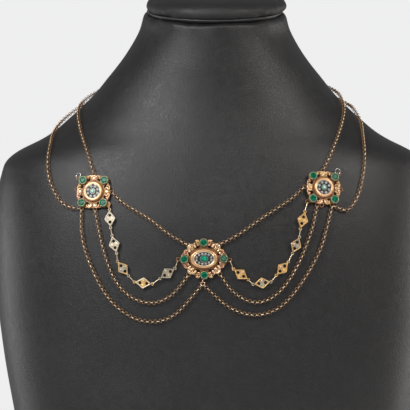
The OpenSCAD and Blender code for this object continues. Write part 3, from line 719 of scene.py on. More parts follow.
@dataclass
class Bust:
    """The padded neck form: its body, its stuffed cap, and the welt and the binding between them."""

    nodes: Nodes
    finishes: Finishes
    edge_inset: float = 2.6 * MM
    flat: float = 0.97
    base_reach: float = 0.5 * MM
    top_reach: float = 14 * MM
    most_sides: int = 8
    any_angle: float = 3.1
    top_drop: float = 6 * MM
    softness: float = 0.22 * MM
    soft_scale: float = 38.0
    pleats: tuple[float, float] = (9.0, 60.0)
    pleat_depth: float = 0.7 * MM
    pleat_reach: float = 3.6 * MM
    base_calm: float = 8 * MM
    edge_reach: float = 2.2 * MM
    front_at: float = 30 * MM
    sag: float = 0.7 * MM
    dip_depth: float = 0.8 * MM
    dips: tuple[tuple[float, float], ...] = ((-12 * MM, 8 * MM), (21 * MM, 5 * MM))
    tuck: float = 0.025
    pad_height: float = 0.97
    pad_voxel: float = 2.6 * MM
    pad_pressure: float = 4.0
    pad_frames: int = 20
    pad_rise: float = 1.3 * MM
    end_bulge: float = 2.0 * MM
    end_from: float = 0.45
    welt: float = 0.50 * MM
    binding: float = 1.9 * MM
    seam_z: float = 293.0 * MM
    tilt: float = math.radians(10)
    surface: BVHTree = field(init=False)

    def build(self) -> None:
        """Build the body, the cap and the seam's two rings."""
        body = self.body()
        bm = bmesh.new()
        bm.from_mesh(body.data)
        self.surface = BVHTree.FromBMesh(bm)
        bm.free()
        self.cap()
        self.welts()

    def body(self) -> Object:
        """Build the bust's smooth body, with small gathers under its top edge.

        Returns:
            The piece.
        """
        bm = merged_copy(self.nodes["neck_bust"])
        low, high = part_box("neck_bust")
        flat = [f for f in bm.faces if abs(f.normal.z) > self.flat]
        inner = (low.z + self.base_reach, high.z - self.top_reach)
        ends = [f for f in flat if not inner[0] <= f.calc_center_median().z <= inner[1]]
        bmesh.ops.dissolve_faces(bm, faces=ends)
        bmesh.ops.join_triangles(
            bm, faces=bm.faces, angle_face_threshold=self.any_angle, angle_shape_threshold=self.any_angle
        )
        for face in [f for f in bm.faces if len(f.verts) > self.most_sides]:
            bmesh.ops.inset_region(bm, faces=[face], thickness=self.edge_inset)
        bmesh.ops.triangulate(bm, faces=[f for f in bm.faces if len(f.verts) > self.most_sides])
        piece = finished("bust_body", bm, self.finishes[Slot.LEATHERETTE])
        refined(piece, 2)
        self.pucker(piece, high.z)
        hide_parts("neck_bust")
        return piece

    def pucker(self, piece: Object, top: float) -> None:
        """Move the surface a little, as padding does, with gathers and dips under the top edge.

        Args:
            piece: the bust's body.
            top: the height of its top edge.
        """
        normals = [v.normal.copy() for v in piece.data.vertices]
        for vertex, normal in zip(piece.data.vertices, normals):
            p = vertex.co.copy()
            edge = top - p.y * math.tan(-self.tilt) - self.top_drop
            below = max(0.0, edge - p.z)
            around = math.atan2(p.y, p.x)
            soft = noise.noise(p * self.soft_scale) * self.softness
            pleat = noise.noise(Vector((around * self.pleats[0], below * self.pleats[1], 3.0)))
            fade = math.exp(-below / self.pleat_reach)
            rise = min(1.0, p.z / self.base_calm)
            moved = p + normal * ((soft + pleat * fade * self.pleat_depth) * rise)
            near = math.exp(-below / self.edge_reach)
            front = min(max(0.0, -p.y / self.front_at) ** 2, 1.0)
            dips = sum(math.exp(-(((p.x - x) / w) ** 2)) for x, w in self.dips)
            moved.z -= near * front * (self.sag + self.dip_depth * dips)
            moved.x *= 1 - near * self.tuck
            vertex.co = moved

    def cap(self) -> None:
        """Swell the stuffed cap as cloth under pressure."""
        bm = merged_copy(self.nodes["neck_cap"])
        low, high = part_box("neck_cap")
        centre = (low + high) / 2
        squash = Vector((1.0, 1.0, self.pad_height))
        bmesh.ops.scale(bm, verts=bm.verts, vec=squash, space=Matrix.Translation(-centre))
        lean = Leatherette.lean
        seam = lean.z * self.seam_z + lean.y * centre.y
        # The pad's leatherette is painted darker towards its seam: painted shade.
        pad = Leatherette("black_leatherette_pad", seam=seam).material()
        piece = finished("bust_cap", bm, pad)
        remesh = piece.modifiers.new("cloth_mesh", "REMESH")
        remesh.mode = "VOXEL"
        remesh.voxel_size = self.pad_voxel
        applied(piece)
        self.swell(piece)
        self.bulge(piece, (high.x - low.x) / 2)
        refined(piece, 1)
        for polygon in piece.data.polygons:
            polygon.use_smooth = True
        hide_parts("neck_cap")

    def bulge(self, piece: Object, half_width: float) -> None:
        """Push the pad's right end out, where its stuffing has gathered.

        Args:
            piece: the pad.
            half_width: the pad's half width.
        """
        for vertex in piece.data.vertices:
            share = max(0.0, vertex.co.x / half_width - self.end_from) / (1 - self.end_from)
            vertex.co.x += self.end_bulge * min(share, 1.0) ** 2

    def swell(self, piece: Object) -> None:
        """Run a short cloth simulation and cap how far each point moves.

        Args:
            piece: the pad, as an even mesh.
        """
        start = [v.co.copy() for v in piece.data.vertices]
        cloth = piece.modifiers.new("cloth", "CLOTH")
        cloth.settings.use_pressure = True
        cloth.settings.uniform_pressure_force = self.pad_pressure
        cloth.settings.effector_weights.gravity = 0.0
        scene = bpy.context.scene
        for frame in range(1, self.pad_frames + 1):
            scene.frame_set(frame)
        applied(piece)
        scene.frame_set(1)
        for vertex, before in zip(piece.data.vertices, start):
            move = vertex.co - before
            if move.length > self.pad_rise:
                vertex.co = before + move.normalized() * self.pad_rise

    def welts(self) -> None:
        """Lay the welt round the seam between neck and cap, its lighter colour a painted highlight, and the
        dark binding that closes it, its darker colour painted shade in the crease.
        """
        low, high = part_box("neck_cap")
        middle = (low + high) / 2
        # Painted highlight: the welt's colours are far lighter than the leatherette's, for its lit lip.
        rubbed = Leatherette(
            "black_leatherette_welt", (0.055, 0.053, 0.053), (0.085, 0.082, 0.082), roughness=0.36
        )
        # Painted shade: the binding is darker than the leatherette, to darken the crease under the welt.
        plain = Leatherette("black_leatherette_binding", (0.006, 0.0058, 0.006), (0.009, 0.0088, 0.009))
        for name, look, inset, wire, drop in (
            ("cap_welt", rubbed, 1.6 * MM, self.welt, 0.0),
            ("cap_binding", plain, 4.0 * MM, self.binding, 0.6 * MM),
        ):
            half_w = (high.x - low.x) / 2 - inset
            half_d = (high.y - low.y) / 2 / math.cos(self.tilt) - inset - 0.3 * MM
            bm = bmesh.new()
            ring(bm, 1.0, wire / half_w, 96, 8)
            bmesh.ops.scale(bm, verts=bm.verts, vec=Vector((half_w, half_d, half_w)))
            seat = Matrix.Translation((0, middle.y, self.seam_z - drop)) @ Matrix.Rotation(self.tilt, 4, "X")
            bmesh.ops.transform(bm, verts=bm.verts, matrix=seat)
            finished(name, bm, look.material())


def ring(bm: BMesh, radius: float, wire: float, around: int, sides: int) -> list[BMVert]:
    """Add a round wire ring about the origin's Z axis.

    Args:
        bm: the mesh to add it to.
        radius: the radius at the middle of the wire.
        wire: the wire's own radius.
        around: the steps round the ring.
        sides: the wire's sides.

    Returns:
        The new ring's vertices.
    """
    before = set(bm.verts)
    seat = Matrix.Translation((radius, 0, 0)) @ Matrix.Rotation(math.pi / 2, 4, "X")
    made = bmesh.ops.create_circle(bm, segments=sides, radius=wire, matrix=seat)["verts"]
    geom = made + list({e for v in made for e in v.link_edges})
    axis, cent = (0, 0, 1), (0, 0, 0)
    bmesh.ops.spin(bm, geom=geom, axis=axis, cent=cent, angle=math.tau, steps=around, use_merge=True)
    return [v for v in bm.verts if v not in before]


def smooth_path(points: Sequence[Vector], steps: int = 12) -> list[Vector]:
    """Run a smooth curve through points.

    Args:
        points: the points.
        steps: the pieces between two of them.

    Returns:
        The curve's points, from the first to the last.
    """
    p = [points[0] * 2 - points[1], *points, points[-1] * 2 - points[-2]]
    curve = []
    for i in range(1, len(p) - 2):
        a, b, c, d = p[i - 1 : i + 3]
        for k in range(steps):
            t = k / steps
            straight = b + (c - a) * (t / 2)
            bent = (a * 2 - b * 5 + c * 4 - d) * (t * t / 2)
            curve.append(straight + bent + (b * 3 - a - c * 3 + d) * (t**3 / 2))
    return [*curve, points[-1]]


@dataclass
class ChainRun:
    """Round, broad-banded links in place of one of the long plain tubes. They lie flat by turns."""

    node: Object
    bust: Bust
    finishes: Finishes
    link_radius: float = 0.92 * MM
    wire: float = 0.19 * MM
    breadth: float = 1.15
    pitch: float = 1.36 * MM
    reach: float = 0.51 * MM
    twist: float = math.radians(12)
    steps: int = 10
    sides: int = 6
    ring_points: int = 8

    def centres(self) -> list[Vector]:
        """Find the middle of each ring of the tube's points.

        Returns:
            The middles, in order along the tube.
        """
        left = points_of(self.node)
        rings = []
        while left:
            near = sorted(left, key=lambda p: (p - left[0]).length)[: self.ring_points]
            rings.append(mean(near))
            left = [p for p in left if p not in near]
        ordered = [max(rings, key=lambda p: sum(sorted((p - q).length for q in rings)[1:3]))]
        rings.remove(ordered[0])
        while rings:
            ordered.append(min(rings, key=lambda p: (p - ordered[-1]).length))
            rings.remove(ordered[-1])
        return ordered

    def build(self) -> None:
        """Build the links along the tube's middle line."""
        middle = self.centres()
        first = (middle[0] - middle[1]).normalized()
        last = (middle[-1] - middle[-2]).normalized()
        path = smooth_path([middle[0] + first * self.reach, *middle[1:-1], middle[-1] + last * self.reach])
        runs = [0.0]
        for a, b in zip(path, path[1:]):
            runs.append(runs[-1] + (b - a).length)
        count = 2 * math.ceil(runs[-1] / self.pitch / 2)
        shape = self.link()
        bm = bmesh.new()
        at = 0
        for i in range(count + 1):
            s = runs[-1] * i / count
            while at < len(runs) - 2 and runs[at + 1] < s:
                at += 1
            a, b = path[at], path[at + 1]
            share = (s - runs[at]) / max(runs[at + 1] - runs[at], 1e-9)
            roll = math.radians(90 * ((i + 1) % 2)) + self.twist * math.sin(math.pi * i / count)
            p, along = a.lerp(b, share), (b - a).normalized()
            out = self.bust.surface.find_nearest(p)[1]
            z = (out - along * out.dot(along)).normalized()
            up = z * math.cos(roll) + z.cross(along) * math.sin(roll)
            self.add(bm, shape, seated(along, up.cross(along), up, p))
        self.finish(bm, shape)

    def link(self) -> Mesh:
        """Build one link about the origin.

        Returns:
            The link, its band broader than its metal is thick.
        """
        bm = bmesh.new()
        ring(bm, self.link_radius, self.wire, self.steps, self.sides)
        bmesh.ops.scale(bm, verts=bm.verts, vec=Vector((1, 1, self.breadth)))
        return as_mesh(bm, "link")

    def finish(self, bm: BMesh, shape: Mesh) -> None:
        """Make the chain a piece in its node's place, and drop the single link.

        Args:
            bm: the chain's mesh.
            shape: the single link.
        """
        bpy.data.meshes.remove(shape)
        name = self.node.name
        piece = finished(name + "_chain", bm, self.finishes.added["chain"])
        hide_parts(name)

    def add(self, bm: BMesh, shape: Mesh, seat: Matrix) -> None:
        """Add one link in its seat, and note how far each of its points stands out from the bust.

        Args:
            bm: the chain's mesh.
            shape: one link about the origin.
            seat: the link's frame.
        """
        rise = bm.verts.layers.float.get(RISE) or bm.verts.layers.float.new(RISE)
        count = len(bm.verts)
        bm.from_mesh(shape)
        bm.verts.ensure_lookup_table()
        made = bm.verts[count:]
        bmesh.ops.transform(bm, verts=made, matrix=seat)
        out = self.bust.surface.find_nearest(seat.translation)[1]
        for vertex in made:
            vertex[rise] = (vertex.co - seat.translation).dot(out) / self.link_radius


@dataclass
class LinkedRun(ChainRun):
    """A chain whose round links the source holds one by one. Each keeps its place and its turn."""

    rim_share: float = 0.995

    def build(self) -> None:
        """Build a broad-banded link in the place of each plain one."""
        shape = self.link()
        bm = bmesh.new()
        for points in self.islands():
            middle = mean(points)
            spokes = sorted((p - middle for p in points), key=lambda spoke: -spoke.length)
            rim = [spoke for spoke in spokes if spoke.length > spokes[0].length * self.rim_share]
            first = rim[0].normalized()
            second = min(rim, key=lambda spoke: abs(spoke.normalized().dot(first)))
            up = first.cross(second).normalized()
            self.add(bm, shape, seated(first, up.cross(first), up, middle))
        self.finish(bm, shape)

    def islands(self) -> list[list[Vector]]:
        """Part the node's points by the link that they belong to.

        Returns:
            The points of each separate link.
        """
        bm = merged_copy(self.node)
        links = []
        seen: set[BMVert] = set()
        for start in bm.verts:
            if start in seen:
                continue
            seen.add(start)
            link = [start]
            for vertex in link:
                for edge in vertex.link_edges:
                    other = edge.other_vert(vertex)
                    if other not in seen:
                        seen.add(other)
                        link.append(other)
            links.append([v.co.copy() for v in link])
        bm.free()
        return links


def sweep(bm: BMesh, points: Sequence[Vector], radii: Sequence[float], sides: int = 8) -> None:
    """Draw a round wire of changing thickness through points, closed at its ends.

    Args:
        bm: the mesh to add it to.
        points: the wire's middle line, in a plane whose outward direction is Z.
        radii: the wire's radius at each point.
        sides: the wire's sides.
    """
    before = None
    edges: list[BMEdge] = []
    for i, (p, r) in enumerate(zip(points, radii)):
        ahead = (points[min(i + 1, len(points) - 1)] - points[max(i - 1, 0)]).normalized()
        side = ahead.cross(Vector((0, 0, 1))).normalized()
        seat = seated(side, side.cross(ahead) * -1, ahead, p) @ Matrix.Scale(r, 4)
        if before is None:
            made = bmesh.ops.create_circle(bm, segments=sides, radius=1.0, matrix=seat)["verts"]
            edges = list({e for v in made for e in v.link_edges})
            bmesh.ops.edgeloop_fill(bm, edges=edges)
        else:
            grown = bmesh.ops.extrude_edge_only(bm, edges=edges)["geom"]
            made = [g for g in grown if isinstance(g, BMVert)]
            edges = [g for g in grown if isinstance(g, BMEdge) and all(v in made for v in g.verts)]
            bmesh.ops.transform(bm, verts=made, matrix=seat @ before.inverted())
        before = seat
    bmesh.ops.edgeloop_fill(bm, edges=edges)


@dataclass(frozen=True)
class Scroll:
    """A C-scroll of tapering wire, curled in at its ends. Millimetres and degrees in the plaque's plane."""

    x: float
    y: float
    bend: float
    wire: float
    start: float
    end: float
    level: float = 1.35
    curl: float = 0.55
    curl_from: float = 0.45
    taper: float = 0.45
    steps: int = 22

    def draw(self, bm: BMesh) -> None:
        """Add the scroll.

        Args:
            bm: the mesh to add it to.
        """
        points, radii = [], []
        for i in range(self.steps + 1):
            t = i / self.steps
            near_end = max(0.0, abs(2 * t - 1) - self.curl_from) / (1 - self.curl_from)
            r = self.bend * (1 - self.curl * near_end**1.6)
            angle = math.radians(self.start + (self.end - self.start) * t)
            place = Vector((self.x + r * math.cos(angle), self.y + r * math.sin(angle), self.level))
            points.append(place * MM)
            radii.append(self.wire * (1 - self.taper * near_end) * MM)
        sweep(bm, points, radii)
        for p in (points[0], points[-1]):
            dot(bm, p, self.wire * 0.8 * MM)


@dataclass(frozen=True)
class Leaf:
    """A carved leaf with a middle rib, half sunk in the plate. Millimetres and degrees."""

    x: float
    y: float
    angle: float
    length: float
    width: float
    level: float = 1.2
    rise: float = 0.75
    lobes: float = 0.16
    taper: float = 0.35
    curl: float = 0.35
    rib_depth: float = 0.34
    rib_width: float = 0.16

    def draw(self, bm: BMesh) -> None:
        """Add the leaf.

        Args:
            bm: the mesh to add it to.
        """
        turn = Matrix.Rotation(math.pi / 2, 4, "Y")
        made = bmesh.ops.create_uvsphere(bm, u_segments=16, v_segments=10, radius=1.0, matrix=turn)["verts"]
        for vertex in made:
            u, v, w = vertex.co
            lobes = 1 + self.lobes * math.cos(u * 9)
            taper = 1 - self.taper * u
            rib = 1 - self.rib_depth * math.exp(-((v / self.rib_width) ** 2)) if w > 0 else 1.0
            height = (w * rib + self.curl * max(0.0, u) ** 2) * self.rise
            vertex.co = Vector((u * self.length / 2, v * taper * lobes * self.width / 2, height))
        seat = Matrix.Translation(Vector((self.x, self.y, self.level)) * MM)
        seat = seat @ Matrix.Rotation(math.radians(self.angle), 4, "Z") @ Matrix.Scale(MM, 4)
        bmesh.ops.transform(bm, verts=made, matrix=seat)


def dot(bm: BMesh, p: Vector, radius: float, flat: float = 1.0, fineness: int = 1) -> None:
    """Add one small round grain, its height a share of its width."""
    seat = Matrix.Translation(p) @ Matrix.Diagonal((1, 1, flat, 1))
    bmesh.ops.create_icosphere(bm, subdivisions=fineness + 1, radius=radius, matrix=seat)


def on_oval(x: float, y: float, level: float, share: float) -> Vector:
    """Return the point of an oval at a share of a whole turn. Its sizes are in millimetres."""
    angle = math.tau * share
    return Vector((x * math.cos(angle), y * math.sin(angle), level)) * MM


def four_ways(x: float, y: float) -> list[tuple[float, float]]:
    """Return a place and its mirror images in both axes."""
    return [(x, y), (-x, y), (x, -y), (-x, -y)]


def four_leaves(x: float, y: float, turn: float, length: float, width: float) -> list[Leaf]:
    """Return a leaf in each of four mirrored places, all turned alike from the line to the middle."""
    return [Leaf(a, b, math.degrees(math.atan2(b, a)) + turn, length, width) for a, b in four_ways(x, y)]


def four_scrolls(scroll: Scroll) -> list[Scroll]:
    """Return a scroll and its mirror images in both axes.

    Args:
        scroll: the scroll in the upper right.

    Returns:
        The four scrolls.
    """
    across = replace(scroll, x=-scroll.x, start=180 - scroll.start, end=180 - scroll.end)
    upper = [scroll, across]
    return upper + [replace(s, y=-s.y, start=-s.start, end=-s.end) for s in upper]


@dataclass
class PlaqueWork:
    """One plaque's chased ornament: scrolls, leaves, beading, collet lips, silver grains. Millimetres."""

    side: str
    nodes: Nodes
    finishes: Finishes
    across: tuple[int, int, int, int]
    up: tuple[int, int, int, int]
    stones: Sequence[tuple[float, float]]
    rim: tuple[float, float]
    crest: float
    band: float
    cluster: tuple[float, float]
    middle: tuple[float, float]
    chips: int
    scrolls: Sequence[Scroll]
    leaves: Sequence[Leaf]
    grains: Sequence[tuple[float, float, float]]
    holes: Sequence[tuple[float, float, float]]
    stretch: float = 1.0
    clouded: int = 0
    silver_ring: tuple[float, float, float] | None = None
    ring_radius: float = 1.42
    ring_wire: float = 0.2
    ring_tilt: float = 25
    stone_level: float = 2.3325
    plate: float = 1.1
    bead: float = 0.26
    bead_pitch: float = 0.62
    bead_level: float = 1.22
    collar_level: float = 1.9
    collar_rise: float = 1.17
    squareness: float = 0.8
    edge_level: float = 2.82
    edge_wire: float = 0.21
    edge_at: float = 0.70
    hole_lip: float = 0.13
    hole_wire: float = 0.26
    lip_level: float = 2.68
    lip_radius: float = 1.86
    lip_wire: float = 0.22
    claws: int = 10
    seat: Matrix = field(init=False)
    gold: Material = field(init=False)
    silver: Material = field(init=False)

    def __post_init__(self) -> None:
        """Work out the plaque's frame from its four edge stones."""
        points = [mean(points_of(self.nodes[f"{self.side}_edge_emerald_{i}"])) for i in range(1, 5)]
        across = sum((p * w for p, w in zip(points, self.across)), Vector()).normalized()
        up = sum((p * w for p, w in zip(points, self.up)), Vector())
        up = (up - across * up.dot(across)).normalized()
        out = across.cross(up)
        self.seat = seated(across, up, out, mean(points) - out * self.stone_level * MM)

    def build(self) -> None:
        """Finish the plaque's own nodes and add its ornament."""
        self.gold, self.silver = self.finishes.on_plaque(self.side, self.seat)
        edge, clouded, middle = self.finishes.stones_of(self.side, self.seat)
        dressed = {"plaque": self.gold, "cluster": self.silver, "emerald": middle}
        for i in range(1, 5):
            dressed[f"edge_emerald_{i}"] = clouded if i == self.clouded else edge
        for name, material in dressed.items():
            self.nodes[f"{self.side}_{name}"].material_slots[0].material = material
        self.chasing()
        self.polished_rim()
        self.hole_edges()
        self.lips()
        self.silver_grains()
        if self.silver_ring:
            self.spare_ring()

    def piece(self, name: str, bm: BMesh, material: Material, slot: Slot) -> None:
        """Seat a mesh drawn in the plaque's frame, and make it a piece."""
        bmesh.ops.transform(bm, verts=bm.verts, matrix=self.seat)
        finished(f"{self.side}_{name}", bm, material)

    def chasing(self) -> None:
        """Add the scrolls, leaves, grains and the beading round the rim."""
        bm = bmesh.new()
        for part in (*self.scrolls, *self.leaves):
            part.draw(bm)
        for a, b, r in self.grains:
            for x, y in four_ways(a, b):
                dot(bm, Vector((x, y, self.plate + r * 0.4)) * MM, r * MM, 0.9)
        around = round(math.pi * sum(self.rim) / self.bead_pitch)
        for i in range(around):
            dot(bm, on_oval(*self.rim, self.bead_level, i / around), self.bead * MM, fineness=0)
        self.piece("plaque_chasing", bm, self.gold, Slot.ROSE_GOLD)

    def polished_rim(self) -> None:
        """Add the smooth collar over the rim, and the thin bright edge inside it."""
        bm = bmesh.new()
        for vertex in ring(bm, self.crest * MM, self.band * MM, 96, 20):
            spoke = vertex.co.xy.normalized()
            reach = (vertex.co.xy.length / MM - self.crest) / self.band
            rise = vertex.co.z / MM / self.band
            across, up = (math.copysign(abs(k) ** self.squareness, k) for k in (reach, rise))
            height = (self.collar_level + up * self.collar_rise) * MM
            vertex.co = Vector((*(spoke * (self.crest + across * self.band) * MM), height))
        bmesh.ops.scale(bm, verts=bm.verts, vec=Vector((self.stretch, 1, 1)))
        self.piece("rim_collar", bm, self.finishes.added["collar"], Slot.ROSE_GOLD)
        bm = bmesh.new()
        radius = self.crest - self.band * self.edge_at
        self.lay_ring(bm, Vector((0, 0, self.edge_level)), radius, self.edge_wire, 96, 8)
        bmesh.ops.scale(bm, verts=bm.verts, vec=Vector((self.stretch, 1, 1)))
        self.piece("rim_edge", bm, self.finishes.added["edge"], Slot.ROSE_GOLD)

    def lay_ring(
        self, bm: BMesh, place: Vector, radius: float, wire: float, around: int, sides: int, flat: float = 1.0
    ) -> None:
        """Add a wire ring that lies flat at a place, its height a share of its wire's width."""
        seat = Matrix.Translation(place * MM) @ Matrix.Diagonal((1, 1, flat, 1))
        bmesh.ops.transform(bm, verts=ring(bm, radius * MM, wire * MM, around, sides), matrix=seat)

    def spare_ring(self) -> None:
        """Hang the loose silver ring in its soldered ring."""
        x, y, turn = self.silver_ring
        bm = bmesh.new()
        ring(bm, self.ring_radius * MM, self.ring_wire * MM, 40, 8)
        place = Vector((x, y, self.plate)) * MM
        seat = Matrix.Translation(place) @ Matrix.Rotation(math.radians(turn), 4, "Z")
        tilt = Matrix.Rotation(math.radians(self.ring_tilt), 4, "X")
        bmesh.ops.transform(bm, verts=bm.verts, matrix=seat @ tilt)
        self.piece("silver_ring", bm, self.finishes[Slot.SILVER], Slot.SILVER)

    def hole_edges(self) -> None:
        """Add the near-black edge round each pierced hole: painted shade that darkens the hole."""
        bm = bmesh.new()
        for a, b, r in self.holes:
            for x, y in four_ways(a, b):
                self.lay_ring(bm, Vector((x, y, self.plate)), r + self.hole_lip, self.hole_wire, 20, 6, 0.5)
        self.piece("hole_edges", bm, self.finishes.added["hole"], Slot.ROSE_GOLD)

    def lips(self) -> None:
        """Add the rubbed lip of each round collet."""
        bm = bmesh.new()
        for x, y in self.stones:
            self.lay_ring(bm, Vector((x, y, self.lip_level)), self.lip_radius, self.lip_wire, 32, 8)
        self.piece("collet_lips", bm, self.finishes.added["lip"], Slot.ROSE_GOLD)

    def silver_grains(self) -> None:
        """Add the grains round the cluster's edge and its middle stone."""
        bm = bmesh.new()
        for count, offset, halves, out, level, radius in (
            (self.chips, 0.0, self.cluster, -0.22, 2.42, 0.24),
            (self.claws, 0.5, self.middle, 0.16, 3.12, 0.17),
        ):
            for i in range(count):
                x, y = (half + out for half in halves)
                dot(bm, on_oval(x, y, level, (i + offset) / count), radius * MM)
        self.piece("cluster_grains", bm, self.silver, Slot.SILVER)


ROUND_PLAQUE = {
    "across": (-1, 1, -1, 1),
    "up": (1, 1, -1, -1),
    "stones": four_ways(5.8, 6.0),
    "rim": (5.4, 5.4),
    "crest": 4.4,
    "band": 0.78,
    "cluster": (3.6, 3.6),
    "middle": (1.2, 1.2),
    "chips": 8,
    "scrolls": (
        Scroll(0, 6.6, 1.75, 0.46, -25, 205),
        Scroll(-6.6, 0, 1.9, 0.44, 75, 285),
        Scroll(7.0, 1.2, 0.95, 0.38, -70, 170),
        Scroll(7.0, -1.2, 0.95, 0.38, 70, -170),
        Scroll(1.2, -7.1, 0.95, 0.38, -150, 60),
        Scroll(-1.2, -7.1, 0.95, 0.38, -30, -240),
    ),
    "leaves": (
        Leaf(0, 6.9, 90, 2.4, 1.5),
        Leaf(7.2, 0, 0, 2.8, 1.5),
        Leaf(-7.0, 0, 180, 2.4, 1.6),
        Leaf(1.1, -7.6, -70, 2.5, 1.4),
        Leaf(-1.1, -7.6, -110, 2.5, 1.4),
        *four_leaves(7.8, 3.9, 90, 1.5, 0.8),
    ),
    "grains": ((3.2, 8.1, 0.42), (8.3, 3.0, 0.42), (8.4, 1.2, 0.36), (4.6, 3.6, 0.30)),
    "holes": ((2.9, 6.4, 0.6), (6.4, 2.7, 0.55)),
}
PLAQUES = {
    "centre": {
        "across": (0, 0, -1, 1),
        "up": (1, -1, 0, 0),
        "stones": ((0, 8.5), (0, -8.5), (-10.3, 0), (10.3, 0)),
        "rim": (7.45, 5.3),
        "crest": 4.25,
        "band": 0.80,
        "stretch": 1.42,
        "cluster": (4.87, 3.4),
        "middle": (1.95, 1.6),
        "chips": 12,
        "clouded": 4,
        "scrolls": (
            *four_scrolls(Scroll(6.1, 5.3, 2.4, 0.48, 0, 92)),
            *four_scrolls(Scroll(2.9, 8.5, 0.80, 0.34, -60, 150)),
        ),
        "leaves": (
            *four_leaves(6.4, 5.6, 0, 2.8, 1.5),
            *four_leaves(5.4, 7.8, 90, 1.6, 0.7),
            *four_leaves(8.6, 2.6, -60, 2.2, 1.1),
        ),
        "grains": [(8.0 + 0.62 * i, 4.9 - 0.52 * i, 0.40 - 0.015 * i) for i in range(7)],
        "holes": ((3.2, 6.4, 0.7), (4.1, 6.2, 0.6), (7.7, 2.5, 0.45)),
    },
    "left": {**ROUND_PLAQUE, "silver_ring": (-8.6, 8.7, -98)},
    "right": {**ROUND_PLAQUE, "silver_ring": (7.55, 9.2, -58), "clouded": 2},
}


@dataclass
class LozengeWork:
    """One lozenge's polished border and its two round bosses. Millimetres."""

    node: Object
    bust: Bust
    border: Material
    bosses: Sequence[Material]
    half_length: float = 4.3
    half_width: float = 2.9
    waist: float = 2.494
    inset: float = 0.24
    wire: float = 0.25
    level: float = 0.50
    half_plate: float = 0.35
    plate_reach: float = 2.5
    tip_share: float = 0.9
    facing: float = 0.8
    boss_at: float = 1.28
    boss_level: float = 0.48
    boss_radius: float = 0.66
    boss_height: float = 0.32
    steps: int = 40

    def seat(self) -> Matrix:
        """Work out the lozenge's frame from its end rings and its flat faces.

        Returns:
            The frame, in the middle of the plate.
        """
        bm = merged_copy(self.node)
        points = [v.co.copy() for v in bm.verts]
        middle = mean(points)
        first = max((p - middle for p in points), key=lambda spoke: spoke.length)
        far = first.length
        ends = []
        for sign in (-1, 1):
            tip = [p for p in points if sign * (p - middle).dot(first) / far > far * self.tip_share]
            ends.append(mean(tip))
        along = (ends[1] - ends[0]).normalized()
        middle = mean(ends)
        out = self.bust.surface.find_nearest(middle)[1]
        up = Vector()
        for face in bm.faces:
            facing = face.normal.dot(out)
            if abs(facing) > self.facing:
                up += face.normal * face.calc_area() * math.copysign(1, facing)
        bm.free()
        up = (up - along * up.dot(along)).normalized()
        near = [p for p in points if abs((p - middle).dot(along)) < self.plate_reach * MM]
        back = min((p - middle).dot(up) for p in near)
        return seated(along, up.cross(along), up, middle + up * (back + self.half_plate * MM))

    def outline(self) -> list[Vector]:
        """Work out the border's middle line, a rhombus with two blunt corners.

        Returns:
            The line's points, in the lozenge's frame.
        """
        length = self.half_length - self.inset * 1.6
        width = self.half_width - self.inset * 1.15
        points = []
        for i in range(self.steps):
            across, up = math.cos(math.tau * i / self.steps), math.sin(math.tau * i / self.steps)
            reach = max(1 / (abs(across) / length + abs(up) / width), self.waist - self.inset)
            points.append(Vector((reach * across, reach * up, self.level)) * MM)
        return points

    def build(self) -> None:
        """Add the border and the bosses."""
        seat = self.seat()
        bm = bmesh.new()
        points = self.outline()
        sweep(bm, [*points, points[0]], [self.wire * MM] * (len(points) + 1), 6)
        bmesh.ops.transform(bm, verts=bm.verts, matrix=seat)
        finished(self.node.name + "_border", bm, self.border)
        for sign, side, material in zip((1, -1), ("upper", "lower"), self.bosses):
            bm = bmesh.new()
            place = Vector((0, sign * self.boss_at, self.boss_level)) * MM
            dot(bm, place, self.boss_radius * MM, self.boss_height, 2)
            bmesh.ops.transform(bm, verts=bm.verts, matrix=seat)
            finished(f"{self.node.name}_{side}_boss", bm, material)


@dataclass(frozen=True)
class Softbox:
    """A square soft light that faces the necklace. Metres and watts."""

    name: str
    place: tuple[float, float, float]
    size: float
    power: float
    colour: Colour = (1.0, 1.0, 1.0)

    def build(self, target: Vector) -> None:
        """Add the light.

        Args:
            target: the point that it faces.
        """
        data = bpy.data.lights.new(self.name, "AREA")
        data.shape = "SQUARE"
        data.size = self.size
        data.energy = self.power
        data.color = self.colour
        lamp = placed(self.name, data)
        lamp.location = self.place
        lamp.rotation_euler = (target - Vector(self.place)).to_track_quat("-Z", "Y").to_euler()


